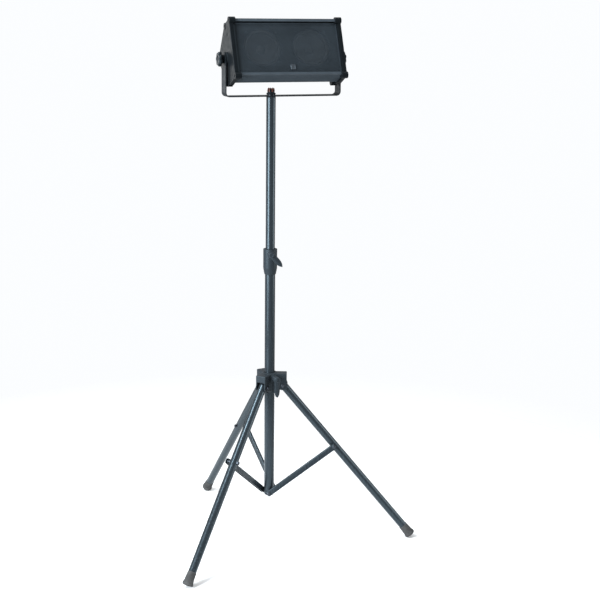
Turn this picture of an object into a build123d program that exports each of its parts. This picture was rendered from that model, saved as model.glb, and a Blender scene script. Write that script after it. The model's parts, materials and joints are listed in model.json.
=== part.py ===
"""PA speaker in a yoke on a folding tripod stand.

Millimetres, +Z up, origin on the floor on the pole's axis.  The speaker's width lies along X and its
front faces -Y, tilted up.  Every piece is modelled in its resting place: legs spread, pole raised.
"""
import os
from math import atan2, cos, degrees, hypot, radians, sin

from build123d import *

# ---- driving dimensions -------------------------------------------------------------------------
LOWER_D, LOWER_WALL = 31.8, 1.2          # lower pole tube
UPPER_D, UPPER_WALL = 28.6, 1.2          # upper pole tube
LEG_D, LEG_WALL = 25.4, 1.2              # leg tubes
FIT = 0.05                               # radial clearance of a running fit
GAP = 0.3                                # clearance between parts that only pass each other
BOLT_D, HEAD_D, HEAD_T = 6.0, 11.0, 3.0  # leg and brace bolts

STRAP_Z = 1408.0                         # underside of the yoke's bottom strap
COLLAR_TOP, COLLAR_LEN, COLLAR_D = 944.0, 80.0, 43.0
HUB_TOP, HUB_BOTTOM, HUB_D = 550.0, 484.0, 46.0
TUBE_BOTTOM = 162.0                      # lower end of the lower pole tube
TUBE_TOP = COLLAR_TOP - 26.0

LEG_AZIMUTHS = {"right": -20.0, "rear": 100.0, "left": 220.0}
HUB_LEVER_AZIMUTH, COLLAR_LEVER_AZIMUTH = -80.0, -102.0     # clamp screws, between two legs
PIVOT_R, PIVOT_Z = 42.0, 509.0           # leg pivots on the hub
FOOT_R = 458.0                           # radius at which the middle of a foot's end stands
FOOT_D, FOOT_LIP_D, FOOT_LEN, FOOT_EDGE = 33.5, 27.6, 40.0, 2.5
BRACE_AT = 256.0                         # leg pivot to brace pivot, along the leg
BRACE_Z = 152.0                          # brace pivots on the bottom fitting, on the pole's axis
BRACE_IN, BRACE_W, BRACE_H, BRACE_T = 16.4, 10.0, 18.0, 1.6

MID_X = 34.0                             # the yoke's middle, beside the pole
HOLE_PITCH, SPARE_HOLE_D = 34.0, 8.5     # mounting holes along the strap; the pole uses one end hole
YOKE_IN, YOKE_T, YOKE_W, YOKE_BEND = 179.0, 3.0, 42.0, 13.0
TILT_Z, TILT_DEG = 1518.0, 22.0          # tilt pivot height and the cabinet's resting tilt

CAB_HALF = 174.0                         # half the cabinet's width over the end caps
CAP_T = 11.0                             # end cap thickness
SHELL_HALF = CAB_HALF - CAP_T
WALL = 4.0
PIVOT_BACK, PIVOT_UP = 70.0, 72.0        # tilt pivot, behind and above the front's lower edge
# side profile of the cabinet: distance behind the front face, height up the front face
PROFILE = [(0, 0), (66, -2), (96, 9), (127, 66), (123, 112), (60, 161), (46, 169), (0, 171)]
# outline of the end caps, which stand proud of the shell
CAP_PROFILE = [(0, -6), (62, -11), (102, 3), (130, 66), (126, 114), (61, 164), (47, 172), (0, 172.5)]
BOSSES = [(3.6, -2), (3.6, 167), (47, 164), (94, 6)]
BOSS_D, BOSS_LEN = 20.0, 19.0
GRILLE_BACK = 8.0                        # the grille's depth behind the end caps' front
BAFFLE_BACK, BAFFLE_T = 14.0, 8.0
DRIVER_X, DRIVER_V = 76.0, 88.0          # driver centres, from the middle and up the front
BAFFLE_HOLE_D = 116.0                    # the hole behind each surround

os.makedirs("parts", exist_ok=True)


def save(piece, name):
    """Label a finished piece and write its STEP file."""
    piece.part.label = name
    export_step(piece.part, f"parts/{name}.step")


def ring(piece_plane, outer_d, inner_d, length):
    """A plain round sleeve standing on a plane, joined to the part being built."""
    with BuildSketch(piece_plane) as section:
        Circle(outer_d / 2)
        if inner_d:
            Circle(inner_d / 2, mode=Mode.SUBTRACT)
    extrude(section.sketch, amount=length)


# ---- lower pole: tube, clamp collar, bush, bottom fitting ---------------------------------------
with BuildPart() as lower_tube:
    ring(Plane.XY.offset(TUBE_BOTTOM), LOWER_D, LOWER_D - 2 * LOWER_WALL, TUBE_TOP - TUBE_BOTTOM)
save(lower_tube, "lower_pole_tube")

BUSH_D = 37.0
BUSH_LEN = COLLAR_TOP - TUBE_TOP
COLLAR_BOSS_Z = 930.0


def lever_plane(azimuth, radius, height):
    """Plane across a clamp screw, at a distance from the pole's axis, facing outward."""
    outward = Vector(cos(radians(azimuth)), sin(radians(azimuth)), 0)
    origin = outward * radius + Vector(0, 0, height)
    return Plane(origin=origin, x_dir=Vector(0, 0, 1).cross(outward), z_dir=outward)


COLLAR_BOSS_R, SCREW_D, LEVER_BOSS_D = 31.0, 8.0, 20.0
COLLAR_LIP, COLLAR_TAPER, COLLAR_EDGE = 2.0, 20.0, 1.2
BOSS_ROOT_R = BUSH_D / 2 + 1             # the boss starts inside the collar's wall
with BuildPart() as collar:
    with BuildSketch(Plane.XZ):
        low = COLLAR_TOP - COLLAR_LEN
        with BuildLine():
            Polyline((LOWER_D / 2, low), (LOWER_D / 2 + COLLAR_LIP, low),
                     (COLLAR_D / 2, low + COLLAR_TAPER), (COLLAR_D / 2, COLLAR_TOP),
                     (BUSH_D / 2, COLLAR_TOP), (BUSH_D / 2, TUBE_TOP), (LOWER_D / 2, TUBE_TOP), close=True)
        make_face()
    revolve(axis=Axis.Z)
    top_edges = collar.edges().filter_by(GeomType.CIRCLE).group_by(Axis.Z)[-1]
    fillet(top_edges.sort_by(SortBy.RADIUS)[-1], COLLAR_EDGE)
    with BuildSketch(lever_plane(COLLAR_LEVER_AZIMUTH, BOSS_ROOT_R, COLLAR_BOSS_Z)):
        Circle(LEVER_BOSS_D / 2)
    extrude(amount=COLLAR_BOSS_R - BOSS_ROOT_R)
    with BuildSketch(lever_plane(COLLAR_LEVER_AZIMUTH, 0, COLLAR_BOSS_Z)):
        Circle(SCREW_D / 2 + FIT)
    extrude(amount=COLLAR_BOSS_R, mode=Mode.SUBTRACT)
save(collar, "pole_clamp_collar")

with BuildPart() as bush:
    ring(Plane.XY.offset(TUBE_TOP), BUSH_D, UPPER_D + 2 * FIT, BUSH_LEN)
    with BuildSketch(lever_plane(COLLAR_LEVER_AZIMUTH, 0, COLLAR_BOSS_Z)):
        Circle(SCREW_D / 2 + FIT)
    extrude(amount=BUSH_D, mode=Mode.SUBTRACT)
save(bush, "pole_bush")


def leg_frame(azimuth):
    """Outward and sideways directions of a leg; the braces lie on its clockwise side."""
    outward = Vector(cos(radians(azimuth)), sin(radians(azimuth)), 0)
    sideways = Vector(sin(radians(azimuth)), -cos(radians(azimuth)), 0)
    return outward, sideways


def side_plane(azimuth, radius, height, sideways_at):
    """Plane parallel to a leg's swing plane: x outward, y up, facing to the braces' side."""
    outward, sideways = leg_frame(azimuth)
    origin = outward * radius + sideways * sideways_at + Vector(0, 0, height)
    return Plane(origin=origin, x_dir=outward, z_dir=sideways)


BRACE_OUT = BRACE_IN + BRACE_W
FITTING_D, FITTING_BOTTOM, SPIGOT_TOP = 31.0, 141.0, 180.0
FITTING_BOSS_D, FITTING_EDGE = 16.0, 5.0
FACE_AT = BRACE_IN - GAP                 # the bottom fitting's side faces
PIN_IN = 8.0                             # inner end of the brace pins, from the pole's axis
with BuildPart() as fitting:
    ring(Plane.XY.offset(FITTING_BOTTOM), FITTING_D, 0, TUBE_BOTTOM - FITTING_BOTTOM)
    fillet(fitting.edges().group_by(Axis.Z)[0], FITTING_EDGE)
    ring(Plane.XY.offset(TUBE_BOTTOM), LOWER_D - 2 * LOWER_WALL, 0, SPIGOT_TOP - TUBE_BOTTOM)
    for azimuth in LEG_AZIMUTHS.values():
        ring(side_plane(azimuth, 0, BRACE_Z, 0), FITTING_BOSS_D, 0, FACE_AT)
    for azimuth in LEG_AZIMUTHS.values():
        with BuildSketch(side_plane(azimuth, 0, BRACE_Z, PIN_IN)):
            Circle(BOLT_D / 2)
        extrude(amount=BRACE_IN, mode=Mode.SUBTRACT)
save(fitting, "brace_fitting")

PIN_HEAD_T = 2.5
with BuildPart() as brace_pins:
    for azimuth in LEG_AZIMUTHS.values():
        ring(side_plane(azimuth, 0, BRACE_Z, PIN_IN), BOLT_D, 0, BRACE_OUT + GAP - PIN_IN)
        ring(side_plane(azimuth, 0, BRACE_Z, BRACE_OUT + GAP), HEAD_D, 0, PIN_HEAD_T)
save(brace_pins, "brace_pins")

# ---- leg hub: one casting with three clevises, riding on the lower pole ------------------------
CLEVIS_W, SLOT_W = 34.0, LEG_D + 2 * GAP
CLEVIS_OUT, CLEVIS_IN = 54.0, 14.0
CHEEK_R, SLOT_R = 15.0, 17.0             # outside and inside of the clevis round its bolt
CLEVIS_TOP, CLEVIS_FOOT = HUB_TOP - 2, HUB_BOTTOM + 4
GUSSET_BACK, GUSSET_DROP, CHIN_DROP = 10.0, 14.0, 6.0
HUB_SCREW_Z, HUB_BOSS_R, HUB_BOSS_ROOT = 536.0, 48.0, 19.0
THROUGH = 60.0                           # a cut longer than any piece is wide
with BuildPart() as hub:
    ring(Plane.XY.offset(HUB_BOTTOM), HUB_D, 0, HUB_TOP - HUB_BOTTOM)
    for azimuth in LEG_AZIMUTHS.values():
        with BuildSketch(side_plane(azimuth, 0, 0, -CLEVIS_W / 2)):
            with BuildLine():
                Polyline((CLEVIS_IN, CLEVIS_FOOT), (PIVOT_R - GUSSET_BACK, PIVOT_Z - GUSSET_DROP),
                         (CLEVIS_OUT, PIVOT_Z - CHIN_DROP), (CLEVIS_OUT, CLEVIS_TOP),
                         (CLEVIS_IN, CLEVIS_TOP), close=True)
            make_face()
            with Locations((PIVOT_R, PIVOT_Z)):
                Circle(CHEEK_R)
        extrude(amount=CLEVIS_W)
    with BuildSketch(lever_plane(HUB_LEVER_AZIMUTH, HUB_BOSS_ROOT, HUB_SCREW_Z)):
        Circle(LEVER_BOSS_D / 2)
    extrude(amount=HUB_BOSS_R - HUB_BOSS_ROOT)
    for azimuth in LEG_AZIMUTHS.values():
        with BuildSketch(side_plane(azimuth, 0, 0, -SLOT_W / 2)):
            with Locations((PIVOT_R, PIVOT_Z)):
                Circle(SLOT_R)
            with Locations((PIVOT_R - SLOT_R, HUB_BOTTOM - 1)):
                Rectangle(THROUGH, PIVOT_Z - HUB_BOTTOM + 1, align=(Align.MIN, Align.MIN))
            with Locations((PIVOT_R, PIVOT_Z)):
                Rectangle(THROUGH, SLOT_R, align=(Align.MIN, Align.MIN))
        extrude(amount=SLOT_W, mode=Mode.SUBTRACT)
        with BuildSketch(side_plane(azimuth, PIVOT_R, PIVOT_Z, -THROUGH / 2)):
            Circle(BOLT_D / 2)
        extrude(amount=THROUGH, mode=Mode.SUBTRACT)
    with BuildSketch(Plane.XY.offset(HUB_BOTTOM - 1)):
        Circle(LOWER_D / 2 + FIT)
    extrude(amount=HUB_TOP - HUB_BOTTOM + 2, mode=Mode.SUBTRACT)
    with BuildSketch(lever_plane(HUB_LEVER_AZIMUTH, 0, HUB_SCREW_Z)):
        Circle(SCREW_D / 2 + FIT)
    extrude(amount=HUB_BOSS_R + 1, mode=Mode.SUBTRACT)
save(hub, "hub_collar")

NUT_W, NUT_T = 10.0, 5.0
with BuildPart() as pivot_bolts:
    for azimuth in LEG_AZIMUTHS.values():
        ring(side_plane(azimuth, PIVOT_R, PIVOT_Z, -CLEVIS_W / 2 - NUT_T), BOLT_D, 0, CLEVIS_W + NUT_T)
        ring(side_plane(azimuth, PIVOT_R, PIVOT_Z, CLEVIS_W / 2), HEAD_D, 0, HEAD_T)
        with BuildSketch(side_plane(azimuth, PIVOT_R, PIVOT_Z, -CLEVIS_W / 2 - NUT_T)):
            RegularPolygon(NUT_W / 2, 6, major_radius=False)
        extrude(amount=NUT_T)
save(pivot_bolts, "leg_pivot_bolts")

# ---- clamp levers: a leaf-shaped paddle on a screw that points away from the pole --------------
PADDLE_ROOT, PADDLE_TIP, PADDLE_T, PADDLE_EDGE = 20.0, 13.0, 8.0, 1.5
LEVER_CAP_D, LEVER_CAP_T = 15.0, 3.0


def lever_paddle(azimuth, boss_r, height, length, lean_deg):
    """Paddle face for a clamp screw: hanging down, or turned by lean_deg from straight down."""
    with BuildSketch(lever_plane(azimuth, boss_r + GAP, height)) as outline:
        down = radians(-90 + lean_deg)
        tip = (length * cos(down), length * sin(down))
        with Locations((0, 0)):
            Circle(PADDLE_ROOT / 2)
        with Locations(tip):
            Circle(PADDLE_TIP / 2)
        make_hull()
    return outline.sketch


def lever_pair(azimuth, boss_r, height, tip_r, length, lean_deg, name):
    """Write a clamp lever and its screw; the screw's tip stops just short of the tube at tip_r."""
    with BuildPart() as lever:
        extrude(lever_paddle(azimuth, boss_r, height, length, lean_deg), amount=PADDLE_T)
        fillet(lever.edges().filter_by(lever_plane(azimuth, 0, 0)), PADDLE_EDGE)
        ring(lever_plane(azimuth, boss_r + GAP + PADDLE_T, height), LEVER_CAP_D, 0, LEVER_CAP_T)
        with BuildSketch(lever_plane(azimuth, 0, height)) as bore:
            Circle(SCREW_D / 2)
        extrude(bore.sketch, amount=boss_r + GAP + PADDLE_T, mode=Mode.SUBTRACT)
    save(lever, name + "_lever")
    with BuildPart() as screw:
        ring(lever_plane(azimuth, tip_r + GAP, height), SCREW_D, 0, boss_r + PADDLE_T - tip_r)
    save(screw, name + "_screw")


HUB_TIP_R, COLLAR_TIP_R = LOWER_D / 2, UPPER_D / 2
HUB_PADDLE, COLLAR_PADDLE, COLLAR_LEAN = 50.0, 44.0, 42.0    # lengths, and the collar lever's lean
lever_pair(HUB_LEVER_AZIMUTH, HUB_BOSS_R, HUB_SCREW_Z, HUB_TIP_R, HUB_PADDLE, 0, "hub_clamp")
lever_pair(COLLAR_LEVER_AZIMUTH, COLLAR_BOSS_R, COLLAR_BOSS_Z, COLLAR_TIP_R, COLLAR_PADDLE,
           COLLAR_LEAN, "pole_clamp")

# ---- legs and braces ---------------------------------------------------------------------------
# The foot's rounded rim touches the floor: the middle of its end stands this high for a leg that
# leans by lean, and lean follows from the height and reach of the leg.
lean = atan2(FOOT_R - PIVOT_R, PIVOT_Z - 10)
FOOT_Z = FOOT_EDGE * (1 - cos(lean)) + (FOOT_D / 2 - FOOT_EDGE) * sin(lean)
lean = atan2(FOOT_R - PIVOT_R, PIVOT_Z - FOOT_Z)
LEG_LEN = hypot(FOOT_R - PIVOT_R, PIVOT_Z - FOOT_Z)
LEG_ABOVE, FOOT_FLOOR = 8.0, 5.0
PLUG_CAP, PLUG_IN, PLUG_EDGE = 3.0, 4.0, 2.0
FOOT_FLARE = [(FOOT_LIP_D / 2 + 0.7, -FOOT_LEN + 22), (FOOT_D / 2, -9)]
BRACE_END_R = PIVOT_R + BRACE_AT * sin(lean)
BRACE_END_Z = PIVOT_Z - BRACE_AT * cos(lean)
BRACE_LEN = hypot(BRACE_END_R, BRACE_END_Z - BRACE_Z)
brace_rise = atan2(BRACE_END_Z - BRACE_Z, BRACE_END_R)
print("leg lean", round(degrees(lean), 3), "leg", round(LEG_LEN, 2), "foot end z", round(FOOT_Z, 2))
print("brace end", round(BRACE_END_R, 2), round(BRACE_END_Z, 2), "length", round(BRACE_LEN, 2),
      "rise", round(degrees(brace_rise), 3))


def leg_plane(azimuth, along):
    """Plane across a leg, at a distance down it from its pivot, facing the foot."""
    outward, sideways = leg_frame(azimuth)
    down = outward * sin(lean) - Vector(0, 0, 1) * cos(lean)
    origin = outward * PIVOT_R + Vector(0, 0, PIVOT_Z) + down * along
    return Plane(origin=origin, x_dir=sideways, z_dir=down)


def brace_plane(azimuth, sideways_at):
    """Plane parallel to a brace's swing plane: x along the brace from its lower pivot."""
    outward, sideways = leg_frame(azimuth)
    along = outward * cos(brace_rise) + Vector(0, 0, 1) * sin(brace_rise)
    origin = sideways * sideways_at + Vector(0, 0, BRACE_Z)
    return Plane(origin=origin, x_dir=along, z_dir=sideways)


SADDLE_D, SADDLE_SINK = 12.0, 2.0
for side, azimuth in LEG_AZIMUTHS.items():
    with BuildPart() as leg:
        ring(leg_plane(azimuth, -LEG_ABOVE), LEG_D, LEG_D - 2 * LEG_WALL, LEG_LEN - FOOT_FLOOR + LEG_ABOVE)
        with BuildSketch(side_plane(azimuth, PIVOT_R, PIVOT_Z, -LEG_D)):
            Circle(BOLT_D / 2 + FIT)
        extrude(amount=2 * LEG_D, mode=Mode.SUBTRACT)
        with BuildSketch(side_plane(azimuth, BRACE_END_R, BRACE_END_Z, -LEG_D)):
            Circle(BOLT_D / 2)
        extrude(amount=2 * LEG_D, mode=Mode.SUBTRACT)
    save(leg, f"leg_tube_{side}")

    with BuildPart() as plug:
        ring(leg_plane(azimuth, -LEG_ABOVE), LEG_D - 2 * LEG_WALL, 0, PLUG_IN)
        ring(leg_plane(azimuth, -LEG_ABOVE - PLUG_CAP), LEG_D, 0, PLUG_CAP)
        fillet(plug.faces().sort_by(Axis.Z)[-1].edges(), PLUG_EDGE)
    save(plug, f"leg_plug_{side}")

    across = leg_plane(azimuth, LEG_LEN)
    half_section = Plane(origin=across.origin, x_dir=across.x_dir, z_dir=across.x_dir.cross(across.z_dir))
    with BuildPart() as foot:
        with BuildSketch(half_section):
            with BuildLine():
                rim = Polyline((FOOT_D / 2 - FOOT_EDGE, 0), (0, 0), (0, -FOOT_FLOOR),
                               (LEG_D / 2, -FOOT_FLOOR), (LEG_D / 2, -FOOT_LEN),
                               (FOOT_LIP_D / 2, -FOOT_LEN), *FOOT_FLARE, (FOOT_D / 2, -FOOT_EDGE))
                RadiusArc(rim @ 1, rim @ 0, FOOT_EDGE)
            make_face()
        revolve(axis=Axis(across.origin, across.z_dir))
    save(foot, f"foot_{side}")

    with BuildPart() as leg_bolt:
        ring(side_plane(azimuth, BRACE_END_R, BRACE_END_Z, LEG_D / 2 - SADDLE_SINK), SADDLE_D, 0,
             FACE_AT - LEG_D / 2 + SADDLE_SINK)
        with BuildSketch(side_plane(azimuth, BRACE_END_R, BRACE_END_Z, -LEG_D / 2 - NUT_T)):
            RegularPolygon(NUT_W / 2, 6, major_radius=False)
        extrude(amount=NUT_T + SADDLE_SINK)
        with BuildSketch(leg_plane(azimuth, BRACE_AT - SADDLE_D)):
            Circle(LEG_D / 2)
        extrude(amount=2 * SADDLE_D, mode=Mode.SUBTRACT)
        ring(side_plane(azimuth, BRACE_END_R, BRACE_END_Z, -LEG_D / 2 - NUT_T - 1), BOLT_D, 0,
             FACE_AT + LEG_D / 2 + NUT_T + 1)
    save(leg_bolt, f"leg_bolt_{side}")

    with BuildPart() as brace:
        with BuildSketch(brace_plane(azimuth, BRACE_IN)):
            with Locations((BRACE_LEN / 2, 0)):
                SlotCenterToCenter(BRACE_LEN, BRACE_H)
        extrude(amount=BRACE_W)
        with BuildSketch(brace_plane(azimuth, BRACE_IN + BRACE_T)):
            with Locations((BRACE_LEN / 2, BRACE_T)):
                Rectangle(BRACE_LEN + 2 * BRACE_H, BRACE_H)
        extrude(amount=BRACE_W - 2 * BRACE_T, mode=Mode.SUBTRACT)
        for along, slack in ((0, FIT), (BRACE_LEN, 0)):
            with BuildSketch(brace_plane(azimuth, BRACE_IN)):
                with Locations((along, 0)):
                    Circle(BOLT_D / 2 + slack)
            extrude(amount=BRACE_W, mode=Mode.SUBTRACT)
    save(brace, f"brace_{side}")

    with BuildPart() as rivet:
        ring(side_plane(azimuth, BRACE_END_R, BRACE_END_Z, BRACE_IN), BOLT_D, 0, BRACE_W)
        ring(side_plane(azimuth, BRACE_END_R, BRACE_END_Z, BRACE_OUT), HEAD_D, 0, PIN_HEAD_T)
    save(rivet, f"brace_rivet_{side}")

# ---- upper pole --------------------------------------------------------------------------------
UPPER_BOTTOM, FLANGE_T, SPIGOT = 650.0, 4.0, 30.0
GLIDE_LEN, GLIDE_IN, STUD_OUT = 14.0, 16.0, 17.0
UPPER_TOP = STRAP_Z - GAP - FLANGE_T
UPPER_BORE = UPPER_D - 2 * UPPER_WALL
STUD_D, STUD_TOP = 8.0, STRAP_Z + YOKE_T + STUD_OUT
with BuildPart() as upper_tube:
    ring(Plane.XY.offset(UPPER_BOTTOM), UPPER_D, UPPER_BORE, UPPER_TOP - UPPER_BOTTOM)
save(upper_tube, "upper_pole_tube")

with BuildPart() as glide:
    ring(Plane.XY.offset(UPPER_BOTTOM - GLIDE_LEN), LOWER_D - 2 * LOWER_WALL - 2 * FIT, 0, GLIDE_LEN)
    ring(Plane.XY.offset(UPPER_BOTTOM), UPPER_BORE, 0, GLIDE_IN)
save(glide, "upper_pole_glide")

with BuildPart() as top_plug:
    ring(Plane.XY.offset(UPPER_TOP - SPIGOT), UPPER_BORE, STUD_D, SPIGOT)
    ring(Plane.XY.offset(UPPER_TOP), UPPER_D, STUD_D, FLANGE_T)
save(top_plug, "pole_top_plug")

with BuildPart() as stud:
    ring(Plane.XY.offset(UPPER_TOP - SPIGOT), STUD_D, 0, STUD_TOP - UPPER_TOP + SPIGOT)
save(stud, "pole_top_stud")

# ---- yoke: a flat strap bent into a U, with holes along its bottom ----------------------------
ARM_END = YOKE_W / 2
ARM_H = TILT_Z + ARM_END - STRAP_Z
ARM_CORNER = ARM_END - 0.1               # the arms' ends are as good as half round
with BuildPart() as yoke:
    with BuildSketch(Plane.XZ):
        with Locations((MID_X, STRAP_Z)):
            Rectangle(2 * (YOKE_IN + YOKE_T), ARM_H, align=(Align.CENTER, Align.MIN))
        with Locations((MID_X, STRAP_Z + YOKE_T)):
            Rectangle(2 * YOKE_IN, ARM_H, align=(Align.CENTER, Align.MIN), mode=Mode.SUBTRACT)
    extrude(amount=YOKE_W / 2, both=True)
    inside = (STRAP_Z + YOKE_T - GAP, STRAP_Z + YOKE_T + GAP)
    fillet(yoke.edges().filter_by(Axis.Y).filter_by_position(Axis.Z, *inside), YOKE_BEND - YOKE_T)
    fillet(yoke.edges().filter_by(Axis.Y).group_by(Axis.Z)[0], YOKE_BEND)
    fillet(yoke.edges().filter_by(Axis.X).group_by(Axis.Z)[-1], ARM_CORNER)
    with BuildSketch(Plane.YZ.offset(MID_X - YOKE_IN - 2 * YOKE_T)):
        with Locations((0, TILT_Z)):
            Circle(STUD_D / 2 + FIT)
    extrude(amount=2 * YOKE_IN + 4 * YOKE_T, mode=Mode.SUBTRACT)
    with BuildSketch(Plane.XY.offset(STRAP_Z)):
        with Locations((MID_X - HOLE_PITCH, 0)):
            Circle(STUD_D / 2 + FIT)
        with Locations((MID_X, 0), (MID_X + HOLE_PITCH, 0)):
            Circle(SPARE_HOLE_D / 2)
    extrude(amount=YOKE_T, mode=Mode.SUBTRACT)
save(yoke, "yoke_bracket")

WASHER_T, WASHER_D = 2.0, 24.0
with BuildPart() as yoke_washer:
    ring(Plane.XY.offset(STRAP_Z + YOKE_T), WASHER_D, STUD_D + 2 * FIT, WASHER_T)
save(yoke_washer, "yoke_washer")

KNOB_BASE = STRAP_Z + YOKE_T + WASHER_T + GAP
KNOB_H, KNOB_BASE_D, KNOB_RIBS = 20.0, 28.0, 12
SKIRT_H, STEM_D, STEM_TAPER, FLUTE_R = 5.0, 24.0, 14.0, 1.3
with BuildPart() as top_knob:
    ring(Plane.XY.offset(KNOB_BASE), KNOB_BASE_D, 0, SKIRT_H)
    with BuildSketch(Plane.XY.offset(KNOB_BASE + SKIRT_H)):
        Circle(STEM_D / 2)
    extrude(amount=KNOB_H - SKIRT_H, taper=STEM_TAPER)
    with BuildSketch(Plane.XY.offset(KNOB_BASE + SKIRT_H + 1)):
        with PolarLocations(STEM_D / 2 - 0.5, KNOB_RIBS):
            Circle(FLUTE_R)
    extrude(amount=KNOB_H - SKIRT_H, mode=Mode.SUBTRACT)
    with BuildSketch(Plane.XY.offset(KNOB_BASE)):
        Circle(STUD_D / 2 + FIT)
    extrude(amount=STUD_TOP - KNOB_BASE + 1, mode=Mode.SUBTRACT)
save(top_knob, "top_knob")

# ---- cabinet -----------------------------------------------------------------------------------
tilt = radians(TILT_DEG)
back_dir = Vector(0, cos(tilt), -sin(tilt))
up_dir = Vector(0, sin(tilt), cos(tilt))
tilt_pivot = Vector(MID_X, 0, TILT_Z)
corner = tilt_pivot - back_dir * PIVOT_BACK - up_dir * PIVOT_UP   # front lower edge, at mid width


def side_at(x):
    """Plane across the cabinet at x from its middle; its coordinates are (back, up the front)."""
    return Plane(origin=corner + Vector(x, 0, 0), x_dir=back_dir, z_dir=(1, 0, 0))


def front_at(back):
    """Plane parallel to the front face; its coordinates are (across, up the front)."""
    return Plane(origin=corner + back_dir * back, x_dir=(1, 0, 0), z_dir=back_dir * -1)


BOSS_IN = CAB_HALF + 1 - BOSS_LEN


def boss_room():
    """Cut room for the end caps' corner bosses out of the part being built."""
    for x_from in (-CAB_HALF - 1, BOSS_IN):
        with BuildSketch(side_at(x_from)) as section:
            with Locations(*BOSSES):
                Circle(BOSS_D / 2)
        extrude(section.sketch, amount=BOSS_LEN, dir=(1, 0, 0), mode=Mode.SUBTRACT)


LIP_TOP, LIP_BOTTOM = 8.0, 7.0
RIDGES, RIDGE_R = 9, 1.1
FRONT_H = PROFILE[-1][1]
low_back = Vector(*PROFILE[1])
ridge_spots = [low_back * ((n + 1.5) / (RIDGES + 2)) for n in range(RIDGES)]

# rear input plate: a window in the flat rear face of the shell
rear_low, rear_high = Vector(*PROFILE[3]), Vector(*PROFILE[4])
rear_mid = (rear_low + rear_high) * 0.5
rear_along = (rear_high - rear_low).normalized()
rear_out = back_dir * rear_along.Y - up_dir * rear_along.X


def rear_at(out):
    """Plane parallel to the rear face, out from it; its coordinates are (across, up the face)."""
    origin = corner + back_dir * rear_mid.X + up_dir * rear_mid.Y + rear_out * out
    return Plane(origin=origin, x_dir=(-1, 0, 0), z_dir=rear_out)


PLATE_W, PLATE_H, PLATE_T, WINDOW_W, WINDOW_H = 96.0, 40.0, 2.0, 80.0, 22.0
PLATE_PITCH, TAPPING_R = (88.0, 28.0), 1.25
with BuildPart() as cab_shell:
    with BuildSketch(side_at(-SHELL_HALF)):
        with BuildLine():
            Polyline(*PROFILE, close=True)
        make_face()
        with Locations(*[(spot.X, spot.Y) for spot in ridge_spots]):
            Circle(RIDGE_R)
    extrude(amount=2 * SHELL_HALF)
    with BuildSketch(side_at(-SHELL_HALF)):
        with BuildLine():
            Polyline(*PROFILE, close=True)
        make_face()
        offset(amount=-WALL, kind=Kind.INTERSECTION, mode=Mode.REPLACE)
        with Locations((0, LIP_BOTTOM)):
            Rectangle(3 * WALL, FRONT_H - LIP_TOP - LIP_BOTTOM, align=(Align.CENTER, Align.MIN))
    extrude(amount=2 * SHELL_HALF, mode=Mode.SUBTRACT)
    with BuildSketch(rear_at(-2 * WALL)):
        Rectangle(WINDOW_W, WINDOW_H)
        with GridLocations(*PLATE_PITCH, 2, 2):
            Circle(TAPPING_R)
    extrude(amount=4 * WALL, mode=Mode.SUBTRACT)
    boss_room()
save(cab_shell, "cabinet_shell")

CAP_EDGE, CAP_SKIN, CAP_POCKET_BACK = 1.6, 4.0, 32.0
CAP_SCREW_D, CAP_HEAD_D, CAP_HEAD_T, CAP_SCREW_LEN = 4.0, 8.5, 3.5, 14.0
CAP_HEAD_IN = 1.0                        # the heads sit this far inside the bosses
INSERT_D, INSERT_LEN, INSERT_WALL = 14.0, 18.0, 4.0
DIMPLE_AT, DIMPLE_D, DIMPLE_DEEP = (33, 134), 8.0, 1.5
for side, sign in (("left", -1), ("right", 1)):
    x_in, x_out = sign * SHELL_HALF, sign * CAB_HALF
    boss_face = x_out + sign
    with BuildPart() as end_cap:
        with BuildSketch(side_at(x_in)):
            with BuildLine():
                Polyline(*CAP_PROFILE, close=True)
            make_face()
        extrude(amount=sign * CAP_T)
        fillet(end_cap.faces().sort_by(Axis.X)[-1 if sign > 0 else 0].edges(), CAP_EDGE)
        with BuildSketch(side_at(x_in)):
            with BuildLine():
                Polyline(*PROFILE, close=True)
            make_face()
            offset(amount=-WALL, mode=Mode.REPLACE)
            Rectangle(2 * CAP_POCKET_BACK, 3 * FRONT_H, mode=Mode.SUBTRACT)
        extrude(amount=sign * (CAP_T - CAP_SKIN), mode=Mode.SUBTRACT)
        with BuildSketch(side_at(x_out - sign * (INSERT_LEN + CAP_EDGE))):
            with Locations((PIVOT_BACK, PIVOT_UP)):
                Circle(INSERT_D / 2 + INSERT_WALL)
        extrude(amount=sign * (INSERT_LEN + CAP_EDGE))
        with BuildSketch(side_at(boss_face - sign * BOSS_LEN)):
            with Locations(*BOSSES):
                Circle(BOSS_D / 2)
        extrude(amount=sign * BOSS_LEN)
        for cut_r, deep in ((CAP_HEAD_D / 2, CAP_HEAD_T), (CAP_SCREW_D / 2, CAP_SCREW_LEN)):
            with BuildSketch(side_at(boss_face)):
                with Locations(*BOSSES):
                    Circle(cut_r)
            extrude(amount=-sign * deep, mode=Mode.SUBTRACT)
        with BuildSketch(side_at(x_out)):
            with Locations(DIMPLE_AT):
                Circle(DIMPLE_D / 2)
        extrude(amount=-sign * DIMPLE_DEEP, mode=Mode.SUBTRACT)
        with BuildSketch(side_at(x_out)):
            with Locations((PIVOT_BACK, PIVOT_UP)):
                Circle(INSERT_D / 2)
        extrude(amount=-sign * INSERT_LEN, mode=Mode.SUBTRACT)
    save(end_cap, f"end_cap_{side}")

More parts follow.
